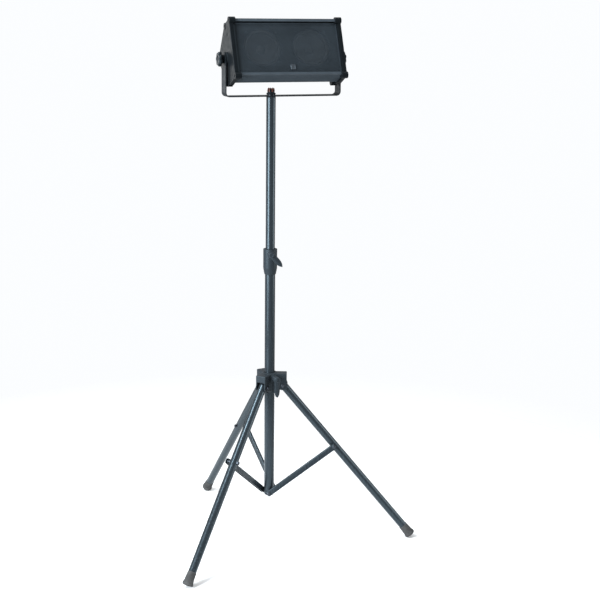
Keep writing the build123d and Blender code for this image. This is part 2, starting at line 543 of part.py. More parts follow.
with BuildPart() as cap_screws:
    for sign in (-1, 1):
        boss_face = sign * (CAB_HALF + 1)
        shank = (CAP_SCREW_D / 2, CAP_SCREW_LEN, CAP_HEAD_T)
        head = (CAP_HEAD_D / 2, CAP_HEAD_T, CAP_HEAD_IN)
        for screw_r, deep, out_by in (shank, head):
            with BuildSketch(side_at(boss_face - sign * deep)):
                with Locations(*BOSSES):
                    Circle(screw_r)
            extrude(amount=sign * (deep - out_by))
save(cap_screws, "end_cap_screws")

SCREW_BORE_D, FRICTION_D = STUD_D + 2 * FIT, 40.0


def tilt_sleeves(outer_d, start, length):
    """A pair of sleeves on the tilt axis, one at each end of the cabinet, running outward."""
    for sign in (-1, 1):
        with BuildSketch(side_at(sign * start)) as sleeve:
            with Locations((PIVOT_BACK, PIVOT_UP)):
                Circle(outer_d / 2)
                Circle(SCREW_BORE_D / 2, mode=Mode.SUBTRACT)
        extrude(sleeve.sketch, amount=sign * length, dir=(1, 0, 0))


with BuildPart() as inserts:
    tilt_sleeves(INSERT_D, CAB_HALF - INSERT_LEN, INSERT_LEN)
save(inserts, "tilt_inserts")

with BuildPart() as friction:
    tilt_sleeves(FRICTION_D, CAB_HALF, YOKE_IN - CAB_HALF - GAP)
save(friction, "friction_washers")

# ---- tilt knobs: lobed heads outside the yoke's arms --------------------------------------------
KNOB_D, KNOB_T, LOBES, LOBE_R, NECK_D, NECK_T = 45.0, 11.0, 7, 5.5, 26.0, 7.0
KNOB_SKIN, KNOB_EDGE = 3.0, 1.5
for side, sign in (("left", -1), ("right", 1)):
    arm_face = sign * (YOKE_IN + YOKE_T + GAP)
    screw_out = arm_face + sign * (NECK_T + KNOB_T - KNOB_SKIN)
    screw_in = sign * (CAB_HALF - INSERT_LEN + STUD_D / 4)
    with BuildPart() as knob:
        with BuildSketch(side_at(arm_face)):
            with Locations((PIVOT_BACK, PIVOT_UP)):
                Circle(NECK_D / 2)
        extrude(amount=sign * NECK_T)
        with BuildSketch(side_at(arm_face + sign * NECK_T)):
            with Locations((PIVOT_BACK, PIVOT_UP)):
                Circle(KNOB_D / 2 - LOBE_R / 2)
                with PolarLocations(KNOB_D / 2 - LOBE_R, LOBES):
                    Circle(LOBE_R)
        extrude(amount=sign * KNOB_T)
        fillet(knob.faces().sort_by(Axis.X)[-1 if sign > 0 else 0].edges(), KNOB_EDGE)
        with BuildSketch(side_at(arm_face)):
            with Locations((PIVOT_BACK, PIVOT_UP)):
                Circle(STUD_D / 2)
        extrude(amount=screw_out - arm_face, mode=Mode.SUBTRACT)
    save(knob, f"tilt_knob_{side}")
    with BuildPart() as tilt_screw:
        with BuildSketch(side_at(screw_in)):
            with Locations((PIVOT_BACK, PIVOT_UP)):
                Circle(STUD_D / 2)
        extrude(amount=screw_out - screw_in)
    save(tilt_screw, f"tilt_screw_{side}")

# ---- baffle, grille, badge ---------------------------------------------------------------------
FACE_LOW, FACE_HIGH = 4.2, 161.5         # lower and upper edge of the grille and baffle, up the front
FACE_MID, FACE_H = (FACE_LOW + FACE_HIGH) / 2, FACE_HIGH - FACE_LOW
DRIVERS = [(-DRIVER_X, DRIVER_V), (DRIVER_X, DRIVER_V)]
DRIVER_SCREW_R, DRIVER_SCREW_D = 63.5, 4.0
with BuildPart() as baffle:
    with BuildSketch(front_at(BAFFLE_BACK + BAFFLE_T)):
        with Locations((0, FACE_MID)):
            Rectangle(2 * SHELL_HALF, FACE_H)
        with Locations(*DRIVERS):
            Circle(BAFFLE_HOLE_D / 2, mode=Mode.SUBTRACT)
            with PolarLocations(DRIVER_SCREW_R, 4, start_angle=45):
                Circle(DRIVER_SCREW_D / 2, mode=Mode.SUBTRACT)
    extrude(amount=BAFFLE_T)
save(baffle, "baffle")

GRILLE_T, GRILLE_FOLD = 1.2, BAFFLE_BACK - GRILLE_BACK
with BuildPart() as grille:
    outside = (0, GRILLE_FOLD, Mode.ADD)
    hollow = (GRILLE_T, GRILLE_FOLD - GRILLE_T, Mode.SUBTRACT)
    for shrink, depth, mode in (outside, hollow):
        with BuildSketch(front_at(BAFFLE_BACK)):
            with Locations((0, FACE_MID)):
                Rectangle(2 * (SHELL_HALF - shrink), FACE_H - 2 * shrink)
        extrude(amount=depth, mode=mode)
    boss_room()
save(grille, "grille")

BADGE_W, BADGE_H, BADGE_T, BADGE_X, BADGE_V = 15.0, 16.0, 2.0, 9.0, 25.0
BADGE_CORNER, BADGE_EDGE = 2.0, 0.6
with BuildPart() as badge:
    with BuildSketch(front_at(GRILLE_BACK)):
        with Locations((BADGE_X, BADGE_V)):
            RectangleRounded(BADGE_W, BADGE_H, BADGE_CORNER)
    extrude(amount=BADGE_T)
    fillet(badge.faces().sort_by(Axis.Y)[0].edges(), BADGE_EDGE)
save(badge, "badge")

# ---- drivers: basket behind the baffle, magnet, surround, and a cone that moves -----------------
BACK = BAFFLE_BACK + BAFFLE_T
FLANGE_R, FLANGE_T, RIM_R, ROLL_IN, CONE_R = 68.0, 3.0, 54.0, 44.3, 44.0
BASKET_DEPTH, BASKET_T, MAGNET_R, MAGNET_T, NECK_R = 34.0, 2.0, 36.0, 18.0, 14.5
WINDOW_R, WINDOW_AT, WINDOW_SIZE, WINDOW_CORNER = MAGNET_R + 10, 4.0, (16.0, 24.0), 4.0
WINDOW_DEEP = 24.0                       # the basket's windows, cut from the back toward the front
ROLL_MID, ROLL_H, ROLL_T = (ROLL_IN + RIM_R) / 2, 5.0, 1.0
ROLL_LIP = 3.0                           # how far the surround is glued onto the baffle
COIL_R, COIL_FRONT, COIL_END, COIL_T = 13.0, 18.0, 26.0, 1.0
DOME_R, DOME_EDGE, DOME_AT = 18.0, 14.0, 16.0    # dust cap: sphere, edge radius and depth


def dome_at(radius, sphere_r):
    """Height of a sphere over its centre plane, at a distance from its axis."""
    return (sphere_r ** 2 - radius ** 2) ** 0.5


dome_mid = BACK + DOME_AT + dome_at(DOME_EDGE, DOME_R)
dome_in = DOME_R - COIL_T                # the dust cap's inside
front_rim = BACK - ROLL_T
coil_in = COIL_R - COIL_T
for side, spot in (("left", DRIVERS[0]), ("right", DRIVERS[1])):
    axis_point = corner + Vector(spot[0], 0, 0) + up_dir * spot[1]
    driver_axis = Axis(axis_point, back_dir)
    # half section of a driver: x out from its axis, y back from the front face
    section = Plane(origin=axis_point, x_dir=(1, 0, 0), z_dir=Vector(1, 0, 0).cross(back_dir))
    with BuildPart() as basket:
        with BuildSketch(section):
            with BuildLine():
                Polyline((RIM_R, BACK), (FLANGE_R, BACK), (FLANGE_R, BACK + FLANGE_T),
                         (RIM_R + 2 * BASKET_T, BACK + FLANGE_T),
                         (MAGNET_R - BASKET_T, BACK + BASKET_DEPTH), (NECK_R, BACK + BASKET_DEPTH),
                         (NECK_R, BACK + BASKET_DEPTH - BASKET_T),
                         (MAGNET_R - 2 * BASKET_T, BACK + BASKET_DEPTH - BASKET_T),
                         (RIM_R, BACK + FLANGE_T), close=True)
            make_face()
        revolve(axis=driver_axis)
        with BuildSketch(front_at(BACK + FLANGE_T)):
            with Locations(spot):
                with PolarLocations(DRIVER_SCREW_R, 4, start_angle=45):
                    Circle(DRIVER_SCREW_D / 2)
        extrude(amount=FLANGE_T, mode=Mode.SUBTRACT)
        with BuildSketch(front_at(BACK + BASKET_DEPTH - WINDOW_AT)):
            with Locations(spot):
                with PolarLocations(WINDOW_R, 6, start_angle=30):
                    RectangleRounded(*WINDOW_SIZE, WINDOW_CORNER)
        extrude(amount=WINDOW_DEEP, mode=Mode.SUBTRACT)
    save(basket, f"driver_basket_{side}")

    with BuildPart() as surround:
        with BuildSketch(section):
            with BuildLine():
                inner = Polyline((ROLL_IN + 1.5 * ROLL_T, BACK), (ROLL_IN, BACK),
                                 (ROLL_IN, front_rim), (ROLL_IN + ROLL_T, front_rim))
                outer = Polyline((RIM_R - ROLL_T, front_rim), (RIM_R + ROLL_LIP, front_rim),
                                 (RIM_R + ROLL_LIP, BACK), (RIM_R - 1.5 * ROLL_T, BACK))
                ThreePointArc(inner @ 1, (ROLL_MID, BACK - ROLL_H), outer @ 0)
                ThreePointArc(outer @ 1, (ROLL_MID, BACK - ROLL_H + ROLL_T), inner @ 0)
            make_face()
        revolve(axis=driver_axis)
    save(surround, f"surround_{side}")

    with BuildPart() as cone:
        with BuildSketch(section):
            with BuildLine():
                Polyline((CONE_R, front_rim), (CONE_R, BACK), (COIL_R, BACK + COIL_FRONT),
                         (COIL_R, BACK + COIL_END), (coil_in, BACK + COIL_END),
                         (coil_in, dome_mid - dome_at(coil_in, dome_in)))
                ThreePointArc((coil_in, dome_mid - dome_at(coil_in, dome_in)),
                              (COIL_R / 2, dome_mid - dome_at(COIL_R / 2, dome_in)), (0, dome_mid - dome_in))
                Line((0, dome_mid - dome_in), (0, dome_mid - DOME_R))
                ThreePointArc((0, dome_mid - DOME_R), (COIL_R / 2, dome_mid - dome_at(COIL_R / 2, DOME_R)),
                              (DOME_EDGE, BACK + DOME_AT))
                Line((DOME_EDGE, BACK + DOME_AT), (CONE_R, front_rim))
            make_face()
        revolve(axis=driver_axis)
    save(cone, f"cone_{side}")

with BuildPart() as magnets:
    with BuildSketch(front_at(BACK + BASKET_DEPTH + MAGNET_T)):
        with Locations(*DRIVERS):
            Circle(MAGNET_R)
    extrude(amount=MAGNET_T)
save(magnets, "driver_magnets")

PAN_R, PAN_T, PLATE_PAN_R, PLATE_PAN_T = 4.0, 2.2, 2.6, 1.6     # screw heads
with BuildPart() as cabinet_screws:
    driver_shank = (DRIVER_SCREW_D / 2, BACK + FLANGE_T, BAFFLE_T + FLANGE_T)
    driver_head = (PAN_R, BAFFLE_BACK, PAN_T)
    for screw_r, base, length in (driver_shank, driver_head):
        with BuildSketch(front_at(base)):
            with Locations(*DRIVERS):
                with PolarLocations(DRIVER_SCREW_R, 4, start_angle=45):
                    Circle(screw_r)
        extrude(amount=length)
    plate_shank = (TAPPING_R, -WALL, WALL + PLATE_T)
    plate_head = (PLATE_PAN_R, PLATE_T, PLATE_PAN_T)
    for screw_r, base, length in (plate_shank, plate_head):
        with BuildSketch(rear_at(base)):
            with GridLocations(*PLATE_PITCH, 2, 2):
                Circle(screw_r)
        extrude(amount=length)
save(cabinet_screws, "cabinet_screws")

# ---- input plate, jacks and leads --------------------------------------------------------------
JACK_X, JACK_BODY_D, JACK_BORE_D, JACK_DEPTH = 20.0, 12.0, 6.5, 30.0
JACK_BACK, JACK_NUT_R, JACK_NUT_T, PLATE_CORNER = 32.0, 8.0, 2.5, 4.0
JACKS = [(-JACK_X, 0), (JACK_X, 0)]
with BuildPart() as input_plate:
    with BuildSketch(rear_at(0)):
        RectangleRounded(PLATE_W, PLATE_H, PLATE_CORNER)
        with Locations(*JACKS):
            Circle(JACK_BODY_D / 2, mode=Mode.SUBTRACT)
        with GridLocations(*PLATE_PITCH, 2, 2):
            Circle(TAPPING_R, mode=Mode.SUBTRACT)
    extrude(amount=PLATE_T)
save(input_plate, "input_plate")

with BuildPart() as jacks:
    with BuildSketch(rear_at(-JACK_BACK)):
        with Locations(*JACKS):
            Circle(JACK_BODY_D / 2)
    extrude(amount=JACK_BACK + PLATE_T)
    with BuildSketch(rear_at(PLATE_T)):
        with Locations(*JACKS):
            RegularPolygon(JACK_NUT_R, 6, major_radius=False)
    extrude(amount=JACK_NUT_T)
    with BuildSketch(rear_at(PLATE_T + JACK_NUT_T - JACK_DEPTH)):
        with Locations(*JACKS):
            Circle(JACK_BORE_D / 2)
    extrude(amount=JACK_DEPTH, mode=Mode.SUBTRACT)
save(jacks, "input_jacks")

LEAD_D, LEAD_BEND, LEAD_LOOP, LEAD_SIDE = 3.0, 4.0, 14.0, 20.0
LEAD_X = DRIVER_X - 12                   # where each lead meets its magnet, from the middle
with BuildPart() as leads:
    for sign in (-1, 1):
        start = rear_at(-JACK_BACK).from_local_coords((-sign * JACK_X, 0, 0))
        end = front_at(BACK + BASKET_DEPTH + MAGNET_T).from_local_coords((sign * LEAD_X, DRIVER_V, 0))
        beside = end + back_dir * (LEAD_LOOP + 2) + Vector(-sign * LEAD_SIDE, 0, 0)
        with BuildLine() as lead_route:
            FilletPolyline(start, start - rear_out * LEAD_LOOP, beside,
                           end + back_dir * LEAD_LOOP, end, radius=LEAD_BEND)
        with BuildSketch(Plane(origin=start, z_dir=-rear_out)):
            Circle(LEAD_D / 2)
        sweep(path=lead_route.line)
save(leads, "driver_leads")
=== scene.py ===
import json
from math import atan2, cos, hypot, pi, radians, sin, sqrt

import bmesh
import bpy
from mathutils import Matrix, Vector


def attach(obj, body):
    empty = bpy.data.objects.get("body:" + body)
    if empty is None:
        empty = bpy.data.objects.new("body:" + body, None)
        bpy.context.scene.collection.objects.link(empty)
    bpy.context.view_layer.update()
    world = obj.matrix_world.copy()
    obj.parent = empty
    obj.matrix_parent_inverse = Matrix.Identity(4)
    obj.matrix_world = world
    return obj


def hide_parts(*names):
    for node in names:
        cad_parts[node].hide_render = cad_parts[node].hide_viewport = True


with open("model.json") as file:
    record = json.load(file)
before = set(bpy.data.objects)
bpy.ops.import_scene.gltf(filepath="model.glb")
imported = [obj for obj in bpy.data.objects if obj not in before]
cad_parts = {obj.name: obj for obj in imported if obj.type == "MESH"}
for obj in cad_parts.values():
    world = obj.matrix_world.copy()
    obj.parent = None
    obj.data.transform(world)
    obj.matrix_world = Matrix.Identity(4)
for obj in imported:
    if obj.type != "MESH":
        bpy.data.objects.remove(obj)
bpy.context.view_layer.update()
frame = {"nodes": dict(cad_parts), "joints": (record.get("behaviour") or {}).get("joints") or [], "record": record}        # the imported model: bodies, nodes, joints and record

MM = 0.001
SIDES = ("right", "rear", "left")
joint_of = {joint["name"]: joint for joint in frame["joints"]}
mount_of = {mount["name"]: mount for mount in frame["record"]["mounts"]}


# ---- places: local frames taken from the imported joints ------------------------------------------
class Place:
    """A local frame: a point and two directions; the third is their cross product."""

    def __init__(self, origin, right, back):
        right, back = Vector(right).normalized(), Vector(back).normalized()
        columns = (right, back, right.cross(back))
        self.matrix = Matrix.Translation(Vector(origin)) @ Matrix(columns).transposed().to_4x4()

    def box(self, node):
        """Lowest and highest corner of a CAD node, in this frame."""
        inverse = self.matrix.inverted()
        corners = [inverse @ vertex.co for vertex in frame["nodes"][node].data.vertices]
        return (Vector([min(c[i] for c in corners) for i in range(3)]),
                Vector([max(c[i] for c in corners) for i in range(3)]))

    def middle(self, node):
        low, high = self.box(node)
        return (low + high) / 2

    def at(self, x=0.0, y=0.0, z=0.0):
        """The same directions from another point, given in this frame."""
        moved = Place((0, 0, 0), (1, 0, 0), (0, 1, 0))
        moved.matrix = self.matrix @ Matrix.Translation((x, y, z))
        return moved

    def facing(self, right, back):
        """A place at this one's origin whose axes are given in this frame."""
        turned = Place((0, 0, 0), right, back)
        turned.matrix = self.matrix @ turned.matrix
        return turned


def joint_place(name, right, back):
    return Place(joint_of[name]["pos_m"], right, back)


front = Vector(joint_of["cone_left_travel"]["axis"])
cab = joint_place("cabinet_tilt", (1, 0, 0), -front)        # x across, y back, z up the front
pole = Place((0, 0, 0), (1, 0, 0), (0, 1, 0))
rear = Vector(mount_of["input_left"]["axis"])                # straight out of the input plate


# ---- mesh building -------------------------------------------------------------------------------
def close_ring(bm, ring, flip=False):
    """Fill a ring of vertices with a fan of quads and triangles round its middle."""
    centre = bm.verts.new(sum((v.co for v in ring), Vector()) / len(ring))
    for n, vertex in enumerate(ring):
        other = ring[(n + 1) % len(ring)]
        bm.faces.new((other, vertex, centre) if flip else (vertex, other, centre))


def bridge(bm, low, high):
    """Quads between two rings of equal count."""
    count = len(low)
    for n in range(count):
        bm.faces.new((low[n], low[(n + 1) % count], high[(n + 1) % count], high[n]))


def lathe(bm, profile, segments=64, shape=None):
    """Revolve (radius, height) points round z.  A profile that starts or ends on the axis is closed there.

    shape(angle, radius, height) may return a changed radius, for lobes and ribs."""
    rings = []
    for radius, height in profile:
        if radius < 1e-6:
            rings.append([bm.verts.new((0, 0, height))])
            continue
        ring = []
        for n in range(segments):
            angle = 2 * pi * n / segments
            r = shape(angle, radius, height) if shape else radius
            ring.append(bm.verts.new((r * cos(angle), r * sin(angle), height)))
        rings.append(ring)
    for low, high in zip(rings, rings[1:]):
        if len(low) == 1 or len(high) == 1:
            ring, tip = (high, low[0]) if len(low) == 1 else (low, high[0])
            for n in range(segments):
                a, b = ring[n], ring[(n + 1) % segments]
                bm.faces.new((b, a, tip) if len(low) == 1 else (a, b, tip))
        else:
            bridge(bm, low, high)
    is_open = (Vector(profile[0]) - Vector(profile[-1])).length > 1e-9
    if len(rings[0]) > 1 and len(rings[-1]) > 1 and is_open:
        bridge(bm, rings[-1], rings[0])


def arc(radius, start, end, count, centre=(0, 0)):
    """Points along an arc, angles in degrees."""
    steps = [radians(start + (end - start) * n / (count - 1)) for n in range(count)]
    return [(centre[0] + radius * cos(a), centre[1] + radius * sin(a)) for a in steps]


def piece(name, bm, place, body, slot, *nodes, smooth=35):
    """Finish a mesh built in a local frame: put it in place, give it its body, slot and finish."""
    bmesh.ops.remove_doubles(bm, verts=bm.verts, dist=1e-7)
    bmesh.ops.recalc_face_normals(bm, faces=bm.faces)
    mesh = bpy.data.meshes.new(name)
    bm.transform(place.matrix)
    bm.to_mesh(mesh)
    bm.free()
    made = bpy.data.objects.new(name, mesh)
    bpy.context.scene.collection.objects.link(made)
    shade(made, smooth)
    mesh.materials.append(finishes[slot])
    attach(made, body)
    if nodes:
        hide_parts(*nodes)
    return made


def shade(made, angle):
    """Smooth shading, with edges sharper than the angle kept sharp."""
    mesh = made.data
    mesh.polygons.foreach_set("use_smooth", [True] * len(mesh.polygons))
    mesh.set_sharp_from_angle(angle=radians(angle))


# ---- finishes ------------------------------------------------------------------------------------
COOL = (0.66, 0.87, 1.0, 1)              # tint of the reflections of the black finishes


class Finish:
    """A procedural material: a Principled shader and the textures that feed it."""

    def __init__(self, name, **sockets):
        self.material = bpy.data.materials.new(name)
        self.material.use_nodes = True
        self.nodes, self.links = self.material.node_tree.nodes, self.material.node_tree.links
        self.shader = next(n for n in self.nodes if n.type == "BSDF_PRINCIPLED")
        for socket, value in sockets.items():
            self.shader.inputs[socket.replace("_", " ")].default_value = value
        self.space = self.nodes.new("ShaderNodeTexCoord").outputs["Object"]
        self.normal = None

    def add(self, kind, inputs=(), **settings):
        """A node with its settings, and its inputs linked or set."""
        node = self.nodes.new(kind)
        for key, value in settings.items():
            setattr(node, key, value)
        for socket, value in inputs:
            if isinstance(value, bpy.types.NodeSocket):
                self.links.new(value, node.inputs[socket])
            else:
                node.inputs[socket].default_value = value
        return node

    def stretched(self, scale):
        return self.add("ShaderNodeMapping", [("Vector", self.space), ("Scale", scale)]).outputs["Vector"]

    def noise(self, scale, detail=3.0, roughness=0.55, stretch=None):
        """Noise from 0 to 1, with features about 1 / scale metres across."""
        space = self.stretched(stretch) if stretch else self.space
        made = self.add("ShaderNodeTexNoise", [("Vector", space), ("Scale", scale), ("Detail", detail),
                                               ("Roughness", roughness)])
        return made.outputs["Fac"]

    def cells(self, scale, feature="F1"):
        made = self.add("ShaderNodeTexVoronoi", [("Vector", self.space), ("Scale", scale)], feature=feature)
        return made.outputs["Distance"]

    def spread(self, value, low, high, to_low, to_high):
        made = self.add("ShaderNodeMapRange", [("Value", value), ("From Min", low), ("From Max", high),
                                               ("To Min", to_low), ("To Max", to_high)])
        return made.outputs["Result"]

    def colours(self, value, *stops):
        """Colour the base by a value: stops are (position, (r, g, b))."""
        ramp = self.add("ShaderNodeValToRGB", [("Fac", value)])
        while len(ramp.color_ramp.elements) < len(stops):
            ramp.color_ramp.elements.new(0.5)
        for element, (position, colour) in zip(ramp.color_ramp.elements, stops):
            element.position, element.color = position, (*colour, 1)
        self.links.new(ramp.outputs["Color"], self.shader.inputs["Base Color"])
        return self

    def rough(self, value, low, high):
        self.links.new(self.spread(value, 0.3, 0.7, low, high), self.shader.inputs["Roughness"])
        return self

    def bump(self, height, depth, strength=1.0):
        """Add relief; depth in metres."""
        inputs = [("Height", height), ("Distance", depth), ("Strength", strength)]
        if self.normal:
            inputs.append(("Normal", self.normal))
        self.normal = self.add("ShaderNodeBump", inputs).outputs["Normal"]
        self.links.new(self.normal, self.shader.inputs["Normal"])
        return self


def grey(level, blue=0.22):
    """A grey, slightly blue."""
    return (level * (1 - blue), level, level * (1 + blue))


def powder_coat(name, level, roughness, shine=0.2):
    """Satin powder coat: orange peel, faint mottling and duller patches."""
    made = Finish(name, Roughness=roughness, Specular_IOR_Level=shine, Specular_Tint=COOL)
    cloud = made.noise(9.0, 4.0)
    made.colours(cloud, (0.3, grey(level * 0.82)), (0.7, grey(level * 1.2)))
    made.rough(made.noise(35.0, 5.0), roughness - 0.06, roughness + 0.08)
    made.bump(made.noise(650.0, 2.0), 0.00005, 0.6)
    made.bump(made.noise(2600.0, 1.0), 0.00003, 0.5)
    return made.material


def tube_coat(name, level, roughness):
    """Powder coat on a drawn tube: long faint scuffs along it and the same orange peel."""
    made = Finish(name, Roughness=roughness, Specular_IOR_Level=0.5, Specular_Tint=COOL)
    scuffs = made.noise(260.0, 4.0, 0.6, stretch=(1, 1, 0.05))
    made.colours(scuffs, (0.35, grey(level * 0.85)), (0.62, grey(level * 1.1)), (0.8, grey(level * 1.7)))
    made.rough(scuffs, roughness - 0.07, roughness + 0.08)
    made.bump(made.noise(700.0, 2.0), 0.000035, 0.5)
    return made.material


def moulded(name, level, roughness, grain=1500.0, depth=0.000025, blue=0.2, shine=0.2):
    """Moulded plastic with a spark-eroded grain."""
    made = Finish(name, Roughness=roughness, Specular_IOR_Level=shine, Specular_Tint=COOL)
    made.colours(made.noise(22.0, 5.0), (0.3, grey(level * 0.85, blue)), (0.7, grey(level * 1.15, blue)))
    made.rough(made.noise(90.0, 4.0), roughness - 0.05, roughness + 0.08)
    made.bump(made.cells(grain), depth, 0.7)
    made.bump(made.noise(300.0, 3.0), 0.00005, 0.25)
    return made.material


def rubbery(name, level, roughness=0.75):
    """Rubber with a dusty bloom."""
    made = Finish(name, Roughness=roughness, Specular_IOR_Level=0.35)
    made.colours(made.noise(45.0, 6.0, 0.65), (0.35, grey(level, 0.03)), (0.72, grey(level * 2.1, 0.0)))
    made.rough(made.noise(120.0, 3.0), roughness - 0.08, roughness + 0.1)
    made.bump(made.noise(900.0, 3.0), 0.00015, 0.6)
    return made.material


def bare_metal(name, colour, roughness, stretch=(1, 1, 12)):
    """Metal with fine turning or drawing marks."""
    made = Finish(name, Metallic=1.0, Roughness=roughness)
    marks = made.noise(900.0, 3.0, 0.6, stretch=stretch)
    tone = made.noise(60.0, 4.0)
    made.colours(tone, (0.3, tuple(c * 0.72 for c in colour)), (0.7, colour))
    made.rough(marks, roughness - 0.08, roughness + 0.12)
    made.bump(marks, 0.00003, 0.5)
    return made.material


def pressed_fibre(name, level):
    """Paper cone: matted fibres."""
    made = Finish(name, Roughness=0.85, Specular_IOR_Level=0.2)
    fibres = made.noise(500.0, 6.0, 0.75)
    made.colours(fibres, (0.3, grey(level * 0.6, 0.02)), (0.75, grey(level * 1.5, 0.02)))
    made.bump(fibres, 0.0003, 0.7)
    return made.material


def board(name, level):
    """Painted fibreboard."""
    made = Finish(name, Roughness=0.9, Specular_IOR_Level=0.2)
    fleck = made.cells(420.0)
    made.colours(fleck, (0.1, grey(level, 0.0)), (0.6, grey(level * 1.8, 0.0)))
    made.bump(fleck, 0.0002, 0.4)
    return made.material


def tinted(name, dark, light, roughness):
    """Coloured plastic or insulation with a slightly uneven tone."""
    made = Finish(name, Roughness=roughness, Specular_IOR_Level=0.5)
    made.colours(made.noise(130.0, 4.0), (0.3, dark), (0.7, light))
    made.rough(made.noise(300.0, 3.0), roughness - 0.06, roughness + 0.1)
    made.bump(made.noise(1400.0, 2.0), 0.00006, 0.5)
    return made.material


finishes = {
    "tube_paint": tube_coat("tube_paint", 0.017, 0.24),
    "yoke_paint": powder_coat("yoke_paint", 0.01, 0.42, shine=0.1),
    "casting": moulded("casting", 0.024, 0.4, grain=900.0, depth=0.00006),
    "bush_plastic": moulded("bush_plastic", 0.02, 0.4, grain=2200.0),
    "shell_plastic": moulded("shell_plastic", 0.048, 0.52, grain=1700.0, depth=0.000012, shine=0.18),
    "cap_plastic": moulded("cap_plastic", 0.006, 0.42, grain=1300.0, depth=0.00006, shine=0.08),
    "grille_paint": powder_coat("grille_paint", 0.042, 0.36, shine=0.3),
    "baffle_board": board("baffle_board", 0.006),
    "rubber": rubbery("rubber", 0.03),
    "surround_rubber": rubbery("surround_rubber", 0.05, 0.5),
    "fastener": bare_metal("fastener", (0.07, 0.08, 0.095), 0.36),
    "ferrite": board("ferrite", 0.07),
    "cone_paper": pressed_fibre("cone_paper", 0.085),
    "knob_plastic": moulded("knob_plastic", 0.01, 0.32, grain=1900.0),
    "knob_red": tinted("knob_red", (0.10, 0.028, 0.018), (0.2, 0.06, 0.035), 0.4),
    "badge_metal": bare_metal("badge_metal", (0.13, 0.155, 0.18), 0.4, stretch=(12, 1, 1)),
    "jack_metal": bare_metal("jack_metal", (0.72, 0.71, 0.68), 0.22),
    "lead_rubber": tinted("lead_rubber", (0.2, 0.015, 0.012), (0.32, 0.03, 0.025), 0.5),
}
for subpart in frame["record"]["subparts"]:
    node = frame["nodes"][subpart["node"]]
    node.data.materials.clear()
    node.data.materials.append(finishes[subpart["material_slot"]])


# ---- cabinet: perforated grille, badge, screws -----------------------------------------------------
HOLE_PITCH, HOLE_R, SHEET, FOLD_R = 4.0 * MM, 1.6 * MM, 1.2 * MM, 1.6 * MM
GRILLE_MARGIN = 5.0 * MM                 # from the outermost holes' centres to the folded edge


def grille_cells(low, high):
    """Hole centres of a staggered perforation, with flags for the cells on each border."""
    across = int((high.x - low.x - 2 * GRILLE_MARGIN) / HOLE_PITCH)
    rows = int((high.z - low.z - 2 * GRILLE_MARGIN) / (HOLE_PITCH * sqrt(3) / 2))
    middle_x, middle_z = (low.x + high.x) / 2, (low.z + high.z) / 2
    for row in range(rows + 1):
        shift = (row % 2) / 2
        for column in range(across - row % 2 + 1):
            x = middle_x + (column + shift - across / 2) * HOLE_PITCH
            z = middle_z + (row - rows / 2) * HOLE_PITCH * sqrt(3) / 2
            yield x, z, column == 0, column == across - row % 2, row == 0, row == rows


def perforated_sheet(bm, low, high, y, edge):
    """One face of the grille: quads between each round hole and its hexagonal cell."""
    shared = {}
    holes = []

    def corner(x, z, at_left, at_right, at_low, at_high, centre):
        if at_left and x < centre[0] + 1e-6:
            x = low.x + edge
        if at_right and x > centre[0] - 1e-6:
            x = high.x - edge
        if at_low and z < centre[1] - 1e-6:
            z = low.z + edge
        if at_high and z > centre[1] + 1e-6:
            z = high.z - edge
        key = (round(x * 1e6), round(z * 1e6))
        if key not in shared:
            shared[key] = bm.verts.new((x, y, z))
        return shared[key]

    for x, z, *borders in grille_cells(low, high):
        outer, ring = [], []
        for n in range(12):
            angle = radians(30 * n)
            reach = HOLE_PITCH / (sqrt(3) if n % 2 else 2)
            outer.append(corner(x + reach * cos(angle), z + reach * sin(angle), *borders, (x, z)))
            ring.append(bm.verts.new((x + HOLE_R * cos(angle), y, z + HOLE_R * sin(angle))))
        for n in range(12):
            m = (n + 1) % 12
            corners = [outer[n], outer[m], ring[m], ring[n]]
            if outer[n] is outer[m]:
                corners.pop(0)
            bm.faces.new(corners)
        holes.append(ring)
    return holes


def grille():
    low, high = cab.box("grille")
    bm = bmesh.new()
    outer_holes = perforated_sheet(bm, low, high, low.y, FOLD_R)
    rim = [edge for edge in bm.edges if edge.is_boundary
           and all(is_on_rim(v.co, low, high, FOLD_R) for v in edge.verts)]
    for inset, y in ((FOLD_R * 0.3, low.y + FOLD_R * 0.3), (0, low.y + FOLD_R), (0, high.y),
                     (SHEET, high.y), (SHEET, low.y + FOLD_R), (FOLD_R, low.y + SHEET)):
        grown = bmesh.ops.extrude_edge_only(bm, edges=rim)["geom"]
        for vertex in [v for v in grown if isinstance(v, bmesh.types.BMVert)]:
            vertex.co = on_rim(vertex.co, low, high, inset, y)
        rim = [e for e in grown if isinstance(e, bmesh.types.BMEdge) and e.is_boundary]
    inner_holes = perforated_sheet(bm, low, high, low.y + SHEET, FOLD_R)
    for front_ring, back_ring in zip(outer_holes, inner_holes):
        bridge(bm, front_ring, back_ring)
    bmesh.ops.remove_doubles(bm, verts=bm.verts, dist=1e-6)
    piece("grille_mesh", bm, cab, "cabinet", "grille_paint", "grille", smooth=50)


def is_on_rim(point, low, high, inset):
    """Whether a point lies on the flat's outer rectangle."""
    near = 1e-5
    return (point.x < low.x + inset + near or point.x > high.x - inset - near
            or point.z < low.z + inset + near or point.z > high.z - inset - near)


def on_rim(point, low, high, inset, y):
    """The same point of the rim, moved to another inset and depth."""
    reach = 2 * FOLD_R

    def moved(value, lowest, highest):
        if value < lowest + reach:
            return lowest + inset
        if value > highest - reach:
            return highest - inset
        return value

    return Vector((moved(point.x, low.x, high.x), y, moved(point.z, low.z, high.z)))


